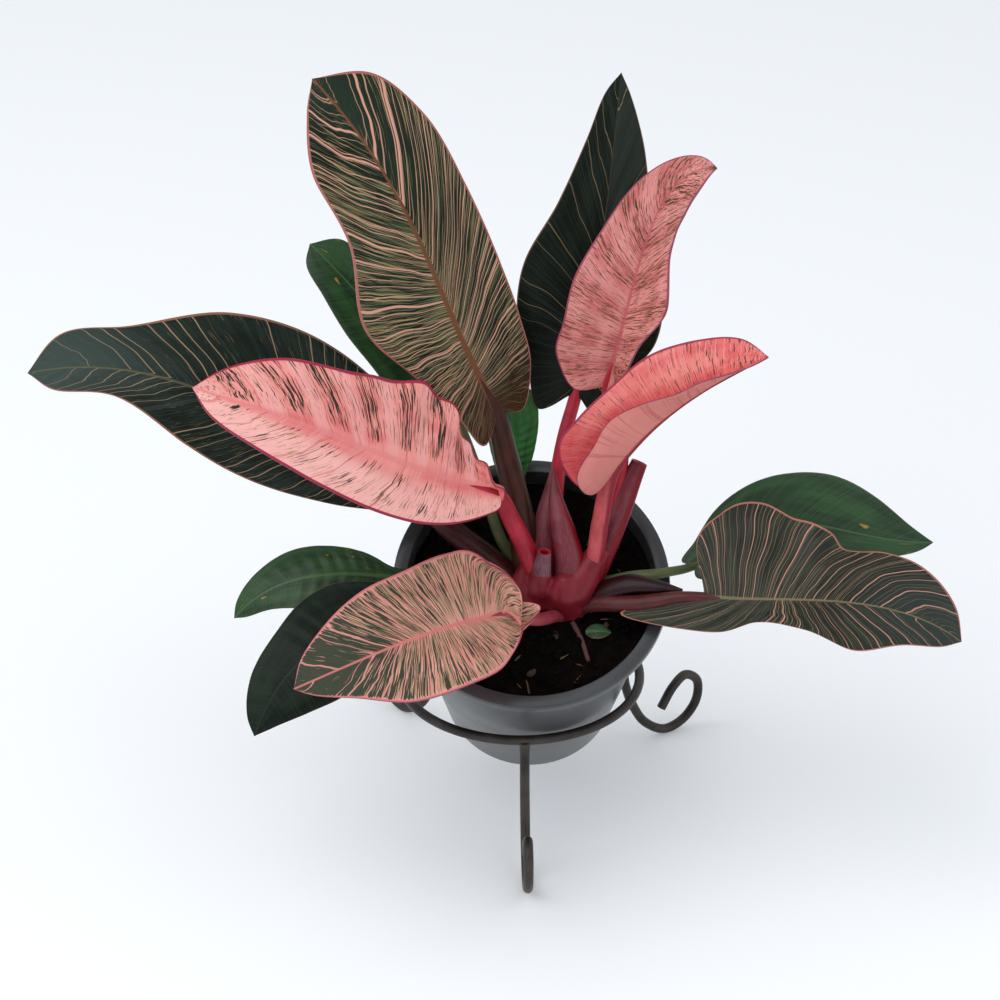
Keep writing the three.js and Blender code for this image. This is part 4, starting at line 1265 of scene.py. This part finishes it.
# The very dark plain leaf that hangs over the pot's rim at the front left,
# on a thin brown stalk.
dark_front = {
    "spine": [(-53, -60, 134), (-74, -80, 131), (-95, -94, 121), (-112, -107, 95)],
    "left": half([16, 20, 23, 23, 16, 6], (4, 7)),
    "right": half([18, 24, 24, 18, 13, 6], (4, 8)),
    "stalk": ([(10, -49, 118), (4, -50, 121), (-13, -55, 126), (-35, -59, 131)], [2.2, 2.5, 2.5, 2.3, 2]),
}
# Very dark glossy green with hardly a vein.
plain_dark_face = leaf_face(
    "plain_very_dark_leaf",
    length=90,
    ground=("#0c140d", "#18251a"),
    marks=[("#22312a", "streaks", (0.5, 60, 0.5, 0.7), 0.5, [])],
    rib=("#2b3a32", 1.4, 0.5),
    rim=("#5f4a3a", 0.98, 0.99),
    rough=0.32,
)
brown_stalk = flesh("brown_stalk", "#231410", "#38201a", "#4a2f26", rough=0.36)
skins = (plain_dark_face, dark_leaf_back, brown_edge)
grow("dark_front", dark_front, skins, brown_stalk, ("leaf_dark", "stalk_dark"))


# A dry rootlet and a seedling leaf that lie on the soil in front of the crown.
# The rootlet is a bent bar, and the seedling leaf a small blade with no stalk to be seen.
root_bark_mm = 1.7
rootlet_path = [(21, -48, 118), (26, -58, 112.5), (29, -67, 107)]
seedling_half = half([1.6, 2.9, 3.5, 3.4, 2.4, 1.0], (0.1, 0.6), [8] * 4, [-10] * 4, pleat=(0.05, 5))
seed_leaf = {
    "spine": [(28, -55, 113.9), (31.6, -55.2, 114.6), (35.3, -55.3, 114.6), (39, -55, 113.8)],
    "left": seedling_half,
    "right": seedling_half,
    "groove": 0.1,
}
# Dry root bark: dull brown, blotched dark.
dry_root, shader, *_ = mottled("dry_brown_rootlet", "#2c1516", "#6b4038", root_bark_mm, 4)
wire(shader, {"Roughness": 0.7})
rootlet = round_bar("rootlet", rootlet_path, tapered([1.2, 1.1, 0.9], 30), 12)
settle(rootlet, dry_root, "twig", "twig")
seedling = blade("seedling_blade", seed_leaf, (green_face, green_back_skin, crimson_edge), 40, 20)
settle(seedling, None, "leaf_green", "seedling_leaf")


# Studio light: a broad soft box high at the left, a weaker one at the right, pale room all round.
# Both point at the plant, and places here are in metres.
aim = Vector((0, 0, 0.15))


def soft_box(name, spot, size, power):
    bpy.ops.object.light_add(type="AREA", location=spot)
    lamp = bpy.context.object
    lamp.name = name
    lamp.data.shape = "RECTANGLE"
    lamp.data.size = size
    lamp.data.size_y = size
    lamp.data.energy = power
    lamp.rotation_euler = (aim - Vector(spot)).to_track_quat("-Z", "Y").to_euler()


soft_box("key_box", (-0.9, -0.5, 1.5), 1.9, 17)
soft_box("fill_box", (1.2, -0.6, 0.9), 1.8, 4)
world = bpy.context.scene.world or bpy.data.worlds.new("room")
bpy.context.scene.world = world
world.use_nodes = True
wire(world.node_tree.nodes["Background"], {"Color": tint("#edf1f5"), "Strength": 0.74})
